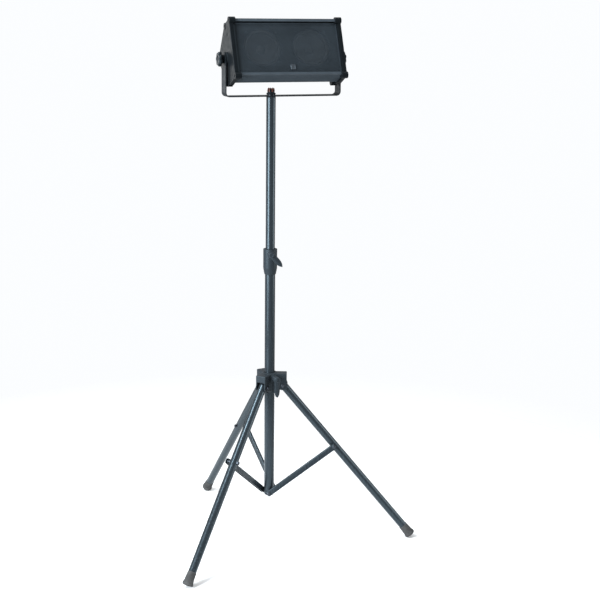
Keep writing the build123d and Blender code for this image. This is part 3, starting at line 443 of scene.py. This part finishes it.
def rounded_outline(width, height, radius, count=8):
    """Corner points of a rounded rectangle round the origin."""
    half_w, half_h = width / 2 - radius, height / 2 - radius
    points = []
    corners = ((half_w, half_h), (-half_w, half_h), (-half_w, -half_h), (half_w, -half_h))
    for turn, (x, y) in enumerate(corners):
        points += arc(radius, 90 * turn, 90 * turn + 90, count, (x, y))
    return points


def badge():
    """A plain badge with a raised border."""
    low, high = cab.box("badge")
    middle = (low + high) / 2
    width, height, depth = high.x - low.x, high.z - low.z, high.y - low.y
    place = cab.at(middle.x, high.y, middle.z).facing((1, 0, 0), (0, 0, 1))      # z toward the front
    bm = bmesh.new()
    rings = []
    for inset, z in ((0, 0), (0, 0.7), (0.15, 0.9), (0.5, 1), (1.4, 1), (1.7, 0.75), (2.2, 0.7)):
        corner_r = 2.3 * MM - inset * MM * 0.9
        outline = rounded_outline(width - 2 * inset * MM, height - 2 * inset * MM, corner_r)
        rings.append([bm.verts.new((x, y, z * depth)) for x, y in outline])
    for inner, outer in zip(rings[1:], rings):
        bridge(bm, outer, inner)
    close_ring(bm, rings[0], flip=True)
    close_ring(bm, rings[-1])
    piece("badge_plate", bm, place, "cabinet", "badge_metal", "badge", smooth=40)


def socket_head(bm, place, radius, height, shank_r, shank_len, key_r=None):
    """A socket-head screw whose head stands on the place's plane, shank below; hexagonal recess."""
    key_r = key_r or radius * 0.52
    deep = height * 0.6
    profile = [(0, -shank_len), (shank_r * 0.8, -shank_len), (shank_r, -shank_len + shank_r * 0.3),
               (shank_r, 0), (radius * 0.97, 0), (radius, height * 0.08), (radius, height * 0.82),
               (radius * 0.9, height), (key_r * 1.12, height), (key_r, height * 0.94),
               (key_r, height - deep),
               (0, height - deep * 1.15)]

    def hexagonal(angle, r, z):
        inside = r <= key_r * 1.01 and z > 0 and r > 1e-6
        return r * cos(pi / 6) / cos((angle % (pi / 3)) - pi / 6) if inside else r

    added(bm, place, lambda part: lathe(part, profile, 36, hexagonal))


def added(bm, place, build):
    """Build something in its own frame and add it to a mesh in the shared frame."""
    part = bmesh.new()
    build(part)
    bmesh.ops.remove_doubles(part, verts=part.verts, dist=1e-7)
    part.transform(place.matrix)
    mesh = bpy.data.meshes.new("part")
    part.to_mesh(mesh)
    part.free()
    bm.from_mesh(mesh)
    bpy.data.meshes.remove(mesh)


def islands(node, place):
    """Boxes of a CAD node's separate solids, in a place's frame."""
    bm = bmesh.new()
    bm.from_mesh(frame["nodes"][node].data)
    bmesh.ops.remove_doubles(bm, verts=bm.verts, dist=1e-6)
    inverse = place.matrix.inverted()
    waiting, boxes = set(bm.verts), []
    while waiting:
        group, stack = [], [waiting.pop()]
        while stack:
            vertex = stack.pop()
            group.append(inverse @ vertex.co)
            for edge in vertex.link_edges:
                other = edge.other_vert(vertex)
                if other in waiting:
                    waiting.remove(other)
                    stack.append(other)
        boxes.append((Vector([min(p[i] for p in group) for i in range(3)]),
                      Vector([max(p[i] for p in group) for i in range(3)])))
    bm.free()
    return sorted(boxes, key=lambda box: tuple(round(c, 4) for c in box[0]))


def end_cap_screws():
    """Socket-head screws sunk in the end caps' bosses."""
    head_r, head_t, shank_r = 4.25 * MM, 2.5 * MM, 2.0 * MM
    bm = bmesh.new()
    for low, high in islands("end_cap_screws", cab):
        side = 1 if low.x > 0 else -1
        middle = (low + high) / 2
        outer = high.x if side > 0 else low.x
        inner = low.x if side > 0 else high.x
        seat = outer - side * head_t
        place = cab.at(seat, middle.y, middle.z).facing((0, side, 0), (0, 0, 1))
        socket_head(bm, place, head_r, head_t, shank_r, abs(seat - inner))
    piece("cap_screws", bm, pole, "cabinet", "fastener", "end_cap_screws", smooth=35)


def pan_head_screws():
    """Cross-recessed pan heads for the drivers and the input plate, painted black."""
    bm = bmesh.new()
    for low, high in islands("cabinet_screws", cab):
        middle, in_front = (low + high) / 2, low.y < cab.box("baffle")[1].y
        if in_front:
            place = cab.at(middle.x, low.y, middle.z).facing((1, 0, 0), (0, 0, 1))
            head_r, head_t, shank_r, length = 4.0, 2.2, 2.0, high.y - low.y
        else:
            outward = cab.matrix.inverted().to_3x3() @ rear
            across = Vector((-1, 0, 0))
            place = cab.at(*(middle + outward * 2.61 * MM)).facing(across, outward.cross(across))
            head_r, head_t, shank_r, length = 2.6, 1.6, 1.25, 7.6 * MM
        head_r, head_t, shank_r = head_r * MM, head_t * MM, shank_r * MM
        profile = [(0, -length), (shank_r, -length + shank_r), (shank_r, -head_t),
                   (head_r * 0.96, -head_t),
                   (head_r, -head_t * 0.85), (head_r, -head_t * 0.6), (head_r * 0.86, -head_t * 0.16),
                   (head_r * 0.6, 0), (head_r * 0.5, 0), (head_r * 0.42, -head_t * 0.6),
                   (0, -head_t * 0.75)]

        def crossed(angle, r, z):
            deep = z < 0 and z > -head_t and r <= head_r * 0.51
            return r * (1 - 0.62 * (1 - abs(cos(2 * angle)) ** 3)) if deep else r

        added(bm, place, lambda part: lathe(part, profile, 32, crossed))
    piece("cabinet_screw_heads", bm, pole, "cabinet", "grille_paint", "cabinet_screws", smooth=35)


# ---- knobs ----------------------------------------------------------------------------------------
LOBES, KNOB_RIBS = 7, 8


def tilt_knob(side):
    """A moulded knob with seven lobes, a fluted neck and a sunk top."""
    axis = Vector(joint_of[f"tilt_knob_{side}_turn"]["axis"])
    place = joint_place(f"tilt_knob_{side}_turn", (0, 1, 0), Vector((0, 1, 0)).cross(axis) * -1)
    low, high = place.box(f"tilt_knob_{side}")
    reach, top, start = high.y, high.z, low.z
    neck = 13.0 * MM
    head = start + 7.0 * MM
    profile = [(4.2 * MM, start), (neck - 1.5 * MM, start), (neck, start + 1.0 * MM),
               (neck, head - 1.5 * MM), (neck + 1.5 * MM, head - 0.2 * MM), (reach * 0.8, head),
               (reach * 0.95, head + 0.8 * MM),
               (reach, head + 2.4 * MM), (reach, top - 3.6 * MM), (reach * 0.965, top - 1.6 * MM),
               (reach * 0.88, top - 0.5 * MM), (reach * 0.74, top), (reach * 0.56, top),
               (reach * 0.50, top - 0.5 * MM), (reach * 0.47, top - 1.6 * MM),
               (reach * 0.28, top - 1.9 * MM),
               (4.2 * MM, top - 2.2 * MM)]

    def lobed(angle, r, z):
        if r < neck - 2 * MM:
            return r
        if r <= neck + 0.1 * MM and z < head:
            return r - 0.35 * MM * (1 + cos(24 * angle)) / 2
        wave = (1 + cos(LOBES * angle)) / 2
        depth = 0.21 * max(0.0, min(1.0, (r / reach - 0.5) / 0.42))
        return r * (1 - depth * (1 - wave ** 0.7))

    bm = bmesh.new()
    lathe(bm, profile, 168, lobed)
    piece(f"tilt_knob_{side}_head", bm, place, f"knob_{side}", "knob_plastic", f"tilt_knob_{side}",
          smooth=60)


def top_knob():
    """The yoke's clamp knob: a dark skirt and a fluted red-brown grip."""
    place = joint_place("top_knob_turn", (1, 0, 0), (0, 1, 0))
    low, high = place.box("top_knob")
    base, reach, tall = low.z, high.x, high.z - low.z
    skirt = [(4.1 * MM, base), (reach * 0.96, base), (reach, base + 0.6 * MM), (reach, base + 4.0 * MM),
             (reach * 0.95, base + 4.8 * MM), (reach * 0.80, base + 5.4 * MM), (4.1 * MM, base + 5.4 * MM)]
    core = [(4.1 * MM, base + 5.4 * MM), (reach * 0.80, base + 5.4 * MM), (reach * 0.74, base + tall * 0.5),
            (reach * 0.56, base + tall - 2.6 * MM), (reach * 0.50, base + tall - 2 * MM),
            (4.1 * MM, base + tall - 2 * MM)]

    def milled(angle, r, z):
        return r if r < reach * 0.9 else r - 0.3 * MM * (1 + cos(48 * angle)) / 2

    for name, profile, shape in (("skirt", skirt, milled), ("core", core, None)):
        bm = bmesh.new()
        lathe(bm, profile, 192, shape)
        piece(f"top_knob_{name}", bm, place, "knob_top", "knob_plastic", "top_knob", smooth=50)

    rib = [(0.56, 0.40), (0.80, 0.40), (0.85, 0.50), (0.80, 0.72), (0.70, 0.93), (0.64, 0.99), (0.58, 1.0),
           (0.52, 0.96), (0.46, 0.82)]
    bm = bmesh.new()
    for n in range(KNOB_RIBS):
        turn = 2 * pi * n / KNOB_RIBS
        side_dir = Vector((-sin(turn), cos(turn), 0))
        rings = []
        for across, narrow in ((-1, 0.93), (-0.6, 1.0), (0.6, 1.0), (1, 0.93)):
            ring = []
            for r, h in rib:
                r = 0.66 + (r - 0.66) * narrow
                h = 0.7 + (h - 0.7) * narrow
                middle = Vector((cos(turn), sin(turn), 0)) * reach * r + Vector((0, 0, base + tall * h))
                ring.append(bm.verts.new(middle + side_dir * 1.25 * MM * across * (1.25 - 0.35 * h)))
            rings.append(ring)
        for a, b in zip(rings, rings[1:]):
            bridge(bm, a, b)
        bm.faces.new(rings[0][::-1])
        bm.faces.new(rings[-1])
    piece("top_knob_ribs", bm, place, "knob_top", "knob_red", "top_knob", smooth=40)


# ---- clamp levers -----------------------------------------------------------------------------------
def clamp_lever(name, body, joint, node, lean_deg, point):
    """A leaf-shaped paddle with a raised ridge and finger ribs, on a round boss.

    point says how sharp its end is, from 0, round, to 1, a leaf's tip."""
    outward = Vector(joint_of[joint]["axis"])
    across = Vector((0, 0, 1)).cross(outward)
    turn = radians(lean_deg - 90)
    along = across * cos(turn) + Vector((0, 0, 1)) * sin(turn)
    place = joint_place(joint, along, outward.cross(along))
    low, high = place.box(node)
    boss_r, inner, outer = high.y, low.z, high.z
    length, face = high.x, outer - 3.0 * MM
    stations = 40
    bm = bmesh.new()
    rows = []
    for n in range(stations + 1):
        t = n / stations
        x = -boss_r + (length + boss_r) * (1 - cos(pi * t)) / 2
        if x < 0:
            half = sqrt(max(boss_r ** 2 - x ** 2, (0.4 * MM) ** 2))
        else:
            s = x / length
            leaf = point * (0.33 * s ** 5 - 0.42 * s * s * (1 - s ** 3))
            half = boss_r * (1 - (0.08 + 0.26 * point) * s - leaf)
            half *= sqrt(max(1 - s ** (6 + 2 * point), 0.004))
        s = max(0.0, x) / length
        thick = (face - inner) * (1 - 0.34 * s)
        rib = 0.45 * MM * max(0.0, cos(2 * pi * x / (5.2 * MM))) if 0.42 < s < 0.86 else 0.0
        side_h, slope_h = 0.72 + rib / thick, 0.83 + rib / thick
        ridge = [(-1, 0.28), (-0.94, 0.52), (-0.7, side_h), (-0.35, slope_h), (-0.1, 0.97), (0, 1.0),
                 (0.1, 0.97), (0.35, slope_h), (0.7, side_h), (0.94, 0.52), (1, 0.28),
                 (0.93, 0.0), (0.4, 0.0), (-0.4, 0.0), (-0.93, 0.0)]
        rows.append([bm.verts.new((x, half * w, inner + thick * h)) for w, h in ridge])
    for a, b in zip(rows, rows[1:]):
        bridge(bm, b, a)
    close_ring(bm, rows[0])
    close_ring(bm, rows[-1], flip=True)
    cap_r = 7.5 * MM
    cap = [(0, face - 3 * MM), (cap_r, face - 3 * MM), (cap_r, outer - 1.0 * MM),
           (cap_r * 0.9, outer - 0.25 * MM), (cap_r * 0.78, outer), (cap_r * 0.6, outer - 0.1 * MM),
           (cap_r * 0.5, outer - 0.9 * MM), (0, outer - 1.1 * MM)]
    added(bm, Place((0, 0, 0), (1, 0, 0), (0, 1, 0)), lambda part: lathe(part, cap, 48))
    piece(name, bm, place, body, "casting", node, smooth=40)


# ---- fasteners --------------------------------------------------------------------------------------
def bolt(bm, place, radius, length, head_r, head_t, nut_w=0.0, nut_t=0.0):
    """A domed bolt through a joint: its head beyond z = length, a chamfered nut before z = 0."""
    steps = [(head_r * cos(a), length + head_t * (0.35 + 0.65 * sin(a))) for a in
             [radians(15 * n) for n in range(6)]]
    profile = [(0, -nut_t - 0.8 * MM if nut_w else 0), (radius * 0.85, -nut_t - 0.8 * MM if nut_w else 0),
               (radius, -nut_t if nut_w else radius * 0.2), (radius, length), (head_r * 0.96, length),
               (head_r, length + 0.2 * MM)] + steps + [(0, length + head_t)]
    added(bm, place, lambda part: lathe(part, profile, 40))
    if nut_w:
        flat = nut_w / 2
        corner = flat / cos(pi / 6)
        nut = [(radius, -nut_t), (flat * 0.92, -nut_t), (corner, -nut_t + 0.55 * MM), (corner, -0.55 * MM),
               (flat * 0.95, 0), (radius, 0)]

        def six_sided(angle, r, z):
            return min(r, flat / cos((angle % (pi / 3)) - pi / 6))

        added(bm, place, lambda part: lathe(part, nut, 60, six_sided))


def leg_place(side):
    """At a leg's pivot: x outward, y away from the brace's side, z up, so the bolt lies along y."""
    axis = Vector(joint_of[f"leg_{side}_fold"]["axis"])
    return joint_place(f"leg_{side}_fold", axis.cross(Vector((0, 0, 1))) * -1, axis)


def across_bolt(place, x, y, z):
    """A place with z along the brace's side of a leg, for bolts through it."""
    return place.at(x, y, z).facing((1, 0, 0), (0, 0, 1))


def fasteners():
    """The bolts at the legs' pivots, and the rivets and pins at the braces' two ends."""
    bolt_r, head_r, head_t, nut_w, nut_t = 3.0 * MM, 5.5 * MM, 3.0 * MM, 10.0 * MM, 5.0 * MM
    rivet_t = 2.5 * MM
    pivot_bolts = bmesh.new()
    pins = bmesh.new()
    for side in SIDES:
        place = leg_place(side)
        own_low, own_high = min(islands("leg_pivot_bolts", place),
                                key=lambda box: abs((box[0] + box[1]).x))
        half = (own_high.y - own_low.y - head_t - nut_t) / 2
        bolt(pivot_bolts, across_bolt(place, 0, half, 0), bolt_r, 2 * half, head_r, head_t, nut_w, nut_t)

        low, high = place.box(f"brace_rivet_{side}")
        middle = (low + high) / 2
        rivet = bmesh.new()
        rivet_at = across_bolt(place, middle.x, high.y, middle.z)
        bolt(rivet, rivet_at, bolt_r, high.y - low.y - rivet_t, head_r, rivet_t)
        piece(f"brace_rivet_{side}_head", rivet, pole, f"strut_{side}", "fastener", f"brace_rivet_{side}")

        swing_axis = Vector(joint_of[f"strut_{side}_fold"]["axis"])
        fitting = joint_place(f"strut_{side}_fold", (0, 0, 1), swing_axis)
        pin_low, pin_high = min(islands("brace_pins", fitting),
                                key=lambda box: (box[0] + box[1]).xz.length)
        pin_at = fitting.at(0, pin_low.y, 0).facing((1, 0, 0), (0, 0, -1))
        bolt(pins, pin_at, bolt_r, pin_high.y - pin_low.y - rivet_t, head_r, rivet_t)
    piece("hub_bolts", pivot_bolts, pole, "leg_hub", "fastener", "leg_pivot_bolts")
    piece("fitting_pins", pins, pole, "lower_pole", "fastener", "brace_pins")


# ---- braces: bent channels ---------------------------------------------------------------------------
def brace(side):
    """A channel bent from sheet, open upward, with rounded ends and beaded edges."""
    axis = Vector(joint_of[f"strut_{side}_fold"]["axis"])
    swing = joint_place(f"strut_{side}_fold", axis.cross(Vector((0, 0, 1))), axis)
    end = swing.middle(f"brace_rivet_{side}")
    length = hypot(end.x, end.z)
    rise = atan2(end.z, end.x)
    place = swing.facing((cos(rise), 0, sin(rise)), (0, 1, 0))
    low, high = place.box(f"brace_{side}")
    half_w, half_h, sheet = (high.y - low.y) / 2, (high.z - low.z) / 2, 1.6 * MM
    bend, bead = 3.0 * MM, 0.25 * MM
    outer = [(-half_w, half_h - 0.5 * MM), (-half_w, half_h - 2.4 * MM),
             (-half_w + bead, half_h - 3.0 * MM),
             (-half_w + bead, -half_h + bend)]
    outer += [(p[0], p[1]) for p in arc(bend - bead, 180, 270, 6, (-half_w + bend, -half_h + bend))][1:]
    inner = [(-half_w + sheet, half_h - 0.5 * MM), (-half_w + sheet, half_h - 2.4 * MM),
             (-half_w + sheet, half_h - 3.0 * MM), (-half_w + sheet, -half_h + bend)]
    inner += arc(bend - sheet, 180, 270, 6, (-half_w + bend, -half_h + bend))[1:]
    outer.insert(0, (-half_w + 0.4 * MM, half_h))
    inner.insert(0, (-half_w + sheet - 0.4 * MM, half_h))
    outer += [(-y, z) for y, z in reversed(outer)]
    inner += [(-y, z) for y, z in reversed(inner)]
    bm = bmesh.new()
    loop = outer + inner[::-1]
    count, rings = len(outer), []
    for share in [0, 0.012] + [0.05 + 0.9 * n / 12 for n in range(13)] + [0.988, 1]:
        ring = []
        for y, z in loop:
            past = sqrt(max(half_h ** 2 - z ** 2, 0.0))
            squeeze = 0.985 if share in (0, 1) else 1.0
            x = -past + share * (length + 2 * past)
            ring.append(bm.verts.new((x, y * squeeze, z * squeeze)))
        rings.append(ring)
    for a, b in zip(rings, rings[1:]):
        bridge(bm, a, b)
    for ring, flip in ((rings[0], False), (rings[-1], True)):
        for n in range(count - 1):
            corners = (ring[n], ring[n + 1], ring[-2 - n], ring[-1 - n])
            bm.faces.new(corners[::-1] if flip else corners)
    piece(f"brace_{side}_channel", bm, place, f"strut_{side}", "tube_paint", f"brace_{side}", smooth=32)


# ---- feet -------------------------------------------------------------------------------------------
def foot(side):
    """A ribbed rubber shoe, flared to a rounded sole."""
    place = leg_place(side)
    bolt_at = place.middle(f"leg_bolt_{side}")
    down = Vector((bolt_at.x, 0, bolt_at.z)).normalized()
    leg = place.facing((0, 1, 0), down.cross(Vector((0, 1, 0))))
    low, high = leg.box(f"foot_{side}")
    reach, top, end = high.x, low.z, high.z
    tall, inner = end - top, 12.72 * MM
    profile = [(inner, top), (reach * 0.80, top), (reach * 0.825, top + 0.8 * MM)]
    for n in range(6):
        start = top + tall * 0.14 + n * tall * 0.09
        wide = reach * (0.825 + 0.012 * n)
        profile += [(wide, start), (wide - 0.7 * MM, start + 0.4 * MM),
                    (wide - 0.7 * MM, start + 1.5 * MM),
                    (wide, start + 1.9 * MM)]
    edge = 2.5 * MM
    profile += [(reach * 0.90, end - tall * 0.26), (reach * 0.97, end - tall * 0.2),
                (reach, end - tall * 0.15),
                (reach, end - edge)]
    profile += [(reach - edge + edge * sin(a), end - edge + edge * cos(a)) for a in
                [radians(75 - 15 * n) for n in range(6)]]
    for n in range(3):
        groove = reach * (0.72 - 0.2 * n)
        profile += [(groove, end), (groove - 0.5 * MM, end - 0.8 * MM),
                    (groove - 1.6 * MM, end - 0.8 * MM),
                    (groove - 2.1 * MM, end)]
    profile += [(0, end)]
    bore = [(0, end - 5 * MM), (inner, end - 5 * MM)]
    bm = bmesh.new()
    lathe(bm, bore + profile, 72)
    piece(f"foot_{side}_shoe", bm, leg, f"leg_{side}", "rubber", f"foot_{side}", smooth=40)


# ---- castings: the CAD solids with rounded edges -------------------------------------------------------
def cast(node, body, voxel, rounds):
    """A moulded copy of a CAD solid: its edges are rounded as a mould leaves them."""
    source = frame["nodes"][node]
    mesh = source.data.copy()
    mesh.name = node + "_cast"
    made = bpy.data.objects.new(node + "_cast", mesh)
    bpy.context.scene.collection.objects.link(made)
    remesh = made.modifiers.new("remesh", "REMESH")
    remesh.mode, remesh.voxel_size, remesh.use_smooth_shade = "VOXEL", voxel, True
    smoothing = made.modifiers.new("smoothing", "SMOOTH")
    smoothing.factor, smoothing.iterations = 0.5, rounds
    bpy.context.view_layer.update()
    shaped = bpy.data.meshes.new_from_object(made.evaluated_get(bpy.context.evaluated_depsgraph_get()))
    made.modifiers.clear()
    made.data = shaped
    bpy.data.meshes.remove(mesh)
    shaped.materials.clear()
    slot = next(part["material_slot"] for part in frame["record"]["subparts"] if part["node"] == node)
    shaped.materials.append(finishes[slot])
    shaped.polygons.foreach_set("use_smooth", [True] * len(shaped.polygons))
    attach(made, body)
    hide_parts(node)


# ---- drivers -----------------------------------------------------------------------------------------
def cone(side):
    """A ribbed cone with a domed dust cap, glued to a voice coil."""
    middle = cab.middle(f"driver_basket_{side}")
    low, high = cab.box(f"cone_{side}")
    reach, coil_r = (high.x - low.x) / 2, 13.0 * MM
    front_y, back_y = low.y, high.y
    place = cab.at(middle.x, front_y, middle.z).facing((1, 0, 0), (0, 0, -1))    # z into the cabinet
    deep = back_y - front_y
    throat = deep * 0.63
    profile = [(0, deep * 0.42), (coil_r - 1 * MM, deep * 0.55), (coil_r - 1 * MM, deep), (coil_r, deep),
               (coil_r, throat + 2.2 * MM)]
    steps = 14
    for n in range(steps + 1):
        t = n / steps
        profile.append((coil_r + (reach - coil_r) * t,
                        (throat + 2.2 * MM) * (1 - t) ** 1.12 + 1.0 * MM * t))
    profile.append((reach, 0))
    for n in range(steps, 0, -1):
        t = n / steps
        wave = 0.25 * MM * cos(pi * n)
        profile.append((14.2 * MM + (reach - 14.2 * MM - 1.2 * MM) * t,
                        throat * (1 - t) ** 1.12 + wave * (t < 0.95)))
    profile += [(14.2 * MM, throat), (13.6 * MM, throat - 0.9 * MM), (12.6 * MM, throat - 1.0 * MM)]
    dome = throat - 5.2 * MM
    profile += [(12.6 * MM * cos(a), dome + (throat - 1.2 * MM - dome) * (1 - sin(a))) for a in
                [radians(12 * n) for n in range(1, 8)]]
    profile.append((0, dome))
    bm = bmesh.new()
    lathe(bm, profile, 96)
    piece(f"cone_{side}_paper", bm, place, f"cone_{side}", "cone_paper", f"cone_{side}", smooth=40)


# ---- input sockets -------------------------------------------------------------------------------------
def sockets():
    """Two jack sockets: a barrel, a chamfered nut and a bore with its contact ring."""
    bm = bmesh.new()
    for name in ("input_left", "input_right"):
        place = Place(mount_of[name]["pos_m"], (-1, 0, 0), rear.cross(Vector((-1, 0, 0))))
        nut_w, nut_t, barrel_r, bore_r = 16 * MM, 2.5 * MM, 6 * MM, 3.25 * MM
        flat = nut_w / 2
        back = -(nut_t + 2 * MM + 32 * MM)

        def six_sided(angle, r, z):
            return min(r, flat / cos((angle % (pi / 3)) - pi / 6)) if r > barrel_r * 1.1 else r

        corner = flat / cos(pi / 6)
        profile = [(0, back), (barrel_r, back), (barrel_r, -nut_t), (flat * 0.95, -nut_t),
                   (corner, -nut_t + 0.5 * MM), (corner, -0.7 * MM), (flat * 0.94, -0.2 * MM),
                   (barrel_r * 0.98, -0.2 * MM),
                   (barrel_r * 0.92, 0), (bore_r * 1.25, 0), (bore_r, -0.7 * MM), (bore_r, -8 * MM),
                   (bore_r - 0.3 * MM, -8.6 * MM), (bore_r - 0.3 * MM, -11 * MM), (bore_r, -11.6 * MM),
                   (bore_r, -30 * MM), (0, -30 * MM)]
        added(bm, place, lambda part: lathe(part, profile, 60, six_sided))
    piece("jack_sockets", bm, pole, "cabinet", "jack_metal", "input_jacks", smooth=35)


grille()
badge()
end_cap_screws()
pan_head_screws()
for side in ("left", "right"):
    tilt_knob(side)
    cone(side)
top_knob()
sockets()
clamp_lever("hub_lever_paddle", "hub_lever", "hub_lever_turn", "hub_clamp_lever", 0, 0.0)
clamp_lever("pole_lever_paddle", "pole_lever", "pole_lever_turn", "pole_clamp_lever", 42, 1.0)
fasteners()
for side in SIDES:
    brace(side)
    foot(side)
cast("hub_collar", "leg_hub", 1.0 * MM, 16)
cast("pole_clamp_collar", "lower_pole", 0.9 * MM, 6)
cast("brace_fitting", "lower_pole", 0.8 * MM, 6)


# ---- camera, lights and floor ---------------------------------------------------------------------
CAMERA_AT = (-1.2459, -3.7097, 1.677)
HEADING, PITCH, ROLL = 19.93, 12.88, 0.6                     # degrees: right of +Y, down, anticlockwise
LENS = 77.54
camera = bpy.data.objects.new("camera", bpy.data.cameras.new("camera"))
bpy.context.scene.collection.objects.link(camera)
camera.data.lens, camera.data.sensor_width = LENS, 36.0
camera.matrix_world = (Matrix.Translation(CAMERA_AT) @ Matrix.Rotation(-radians(HEADING), 4, "Z")
                       @ Matrix.Rotation(radians(90 - PITCH), 4, "X")
                       @ Matrix.Rotation(radians(ROLL), 4, "Z"))
bpy.context.scene.camera = camera


def softbox(name, place, target, size, power, tint=(1, 1, 1), height=None):
    """A square or taller area light looking at a point."""
    light = bpy.data.objects.new(name, bpy.data.lights.new(name, "AREA"))
    bpy.context.scene.collection.objects.link(light)
    light.data.shape = "RECTANGLE"
    light.data.size, light.data.size_y = size, height or size
    light.data.energy, light.data.color = power, tint
    light.location = place
    light.rotation_mode = "QUATERNION"
    light.rotation_quaternion = (Vector(target) - Vector(place)).to_track_quat("-Z", "Y")


softbox("key", (-2.9, -1.1, 1.3), (0, 0, 1.1), 1.7, 200, (0.9, 0.96, 1.0), height=2.2)
softbox("high_key", (-1.6, -0.5, 2.9), (-0.2, -0.2, 0.3), 0.9, 80, (0.9, 0.96, 1.0))
softbox("fill", (2.6, -1.2, 1.3), (0, 0, 1.1), 1.6, 44, height=2.2)
softbox("top", (0.2, 0.3, 3.3), (0, 0, 1.2), 2.0, 20)
softbox("rim", (-1.2, 2.6, 1.8), (0, 0, 1.1), 1.2, 10)

# the camera sees a white world, which lights the speaker at about half that strength
WORLD_LIGHT, WORLD_SEEN = 0.48, 1.0
world = bpy.data.worlds.new("studio")
bpy.context.scene.world = world
world.use_nodes = True
background = world.node_tree.nodes["Background"]
background.inputs["Color"].default_value = (0.97, 0.985, 1.0, 1)
seen = world.node_tree.nodes.new("ShaderNodeLightPath")
strength = world.node_tree.nodes.new("ShaderNodeMapRange")
strength.inputs["To Min"].default_value = WORLD_LIGHT
strength.inputs["To Max"].default_value = WORLD_SEEN
world.node_tree.links.new(seen.outputs["Is Camera Ray"], strength.inputs["Value"])
world.node_tree.links.new(strength.outputs["Result"], background.inputs["Strength"])
bpy.context.scene.view_settings.view_transform = "Standard"

# a pale floor that fades out into the white round it
FLOOR_R, FADE_FROM, FADE_TO = 2.2, 0.65, 1.9
bm = bmesh.new()
bmesh.ops.create_circle(bm, cap_ends=True, segments=96, radius=FLOOR_R)
floor_mesh = bpy.data.meshes.new("floor")
bm.to_mesh(floor_mesh)
bm.free()
floor = bpy.data.objects.new("floor", floor_mesh)
bpy.context.scene.collection.objects.link(floor)
ground = Finish("pale_floor", Roughness=0.8, Specular_IOR_Level=0.2)
ground.colours(ground.noise(1.5, 3.0), (0.3, (0.93, 0.935, 0.94)), (0.7, (0.955, 0.96, 0.96)))
distance = ground.add("ShaderNodeVectorMath", [(0, ground.space)], operation="LENGTH").outputs["Value"]
fading = ground.spread(distance, FADE_FROM, FADE_TO, 1.0, 0.0)
ground.links.new(fading, ground.shader.inputs["Alpha"])
floor.data.materials.append(ground.material)
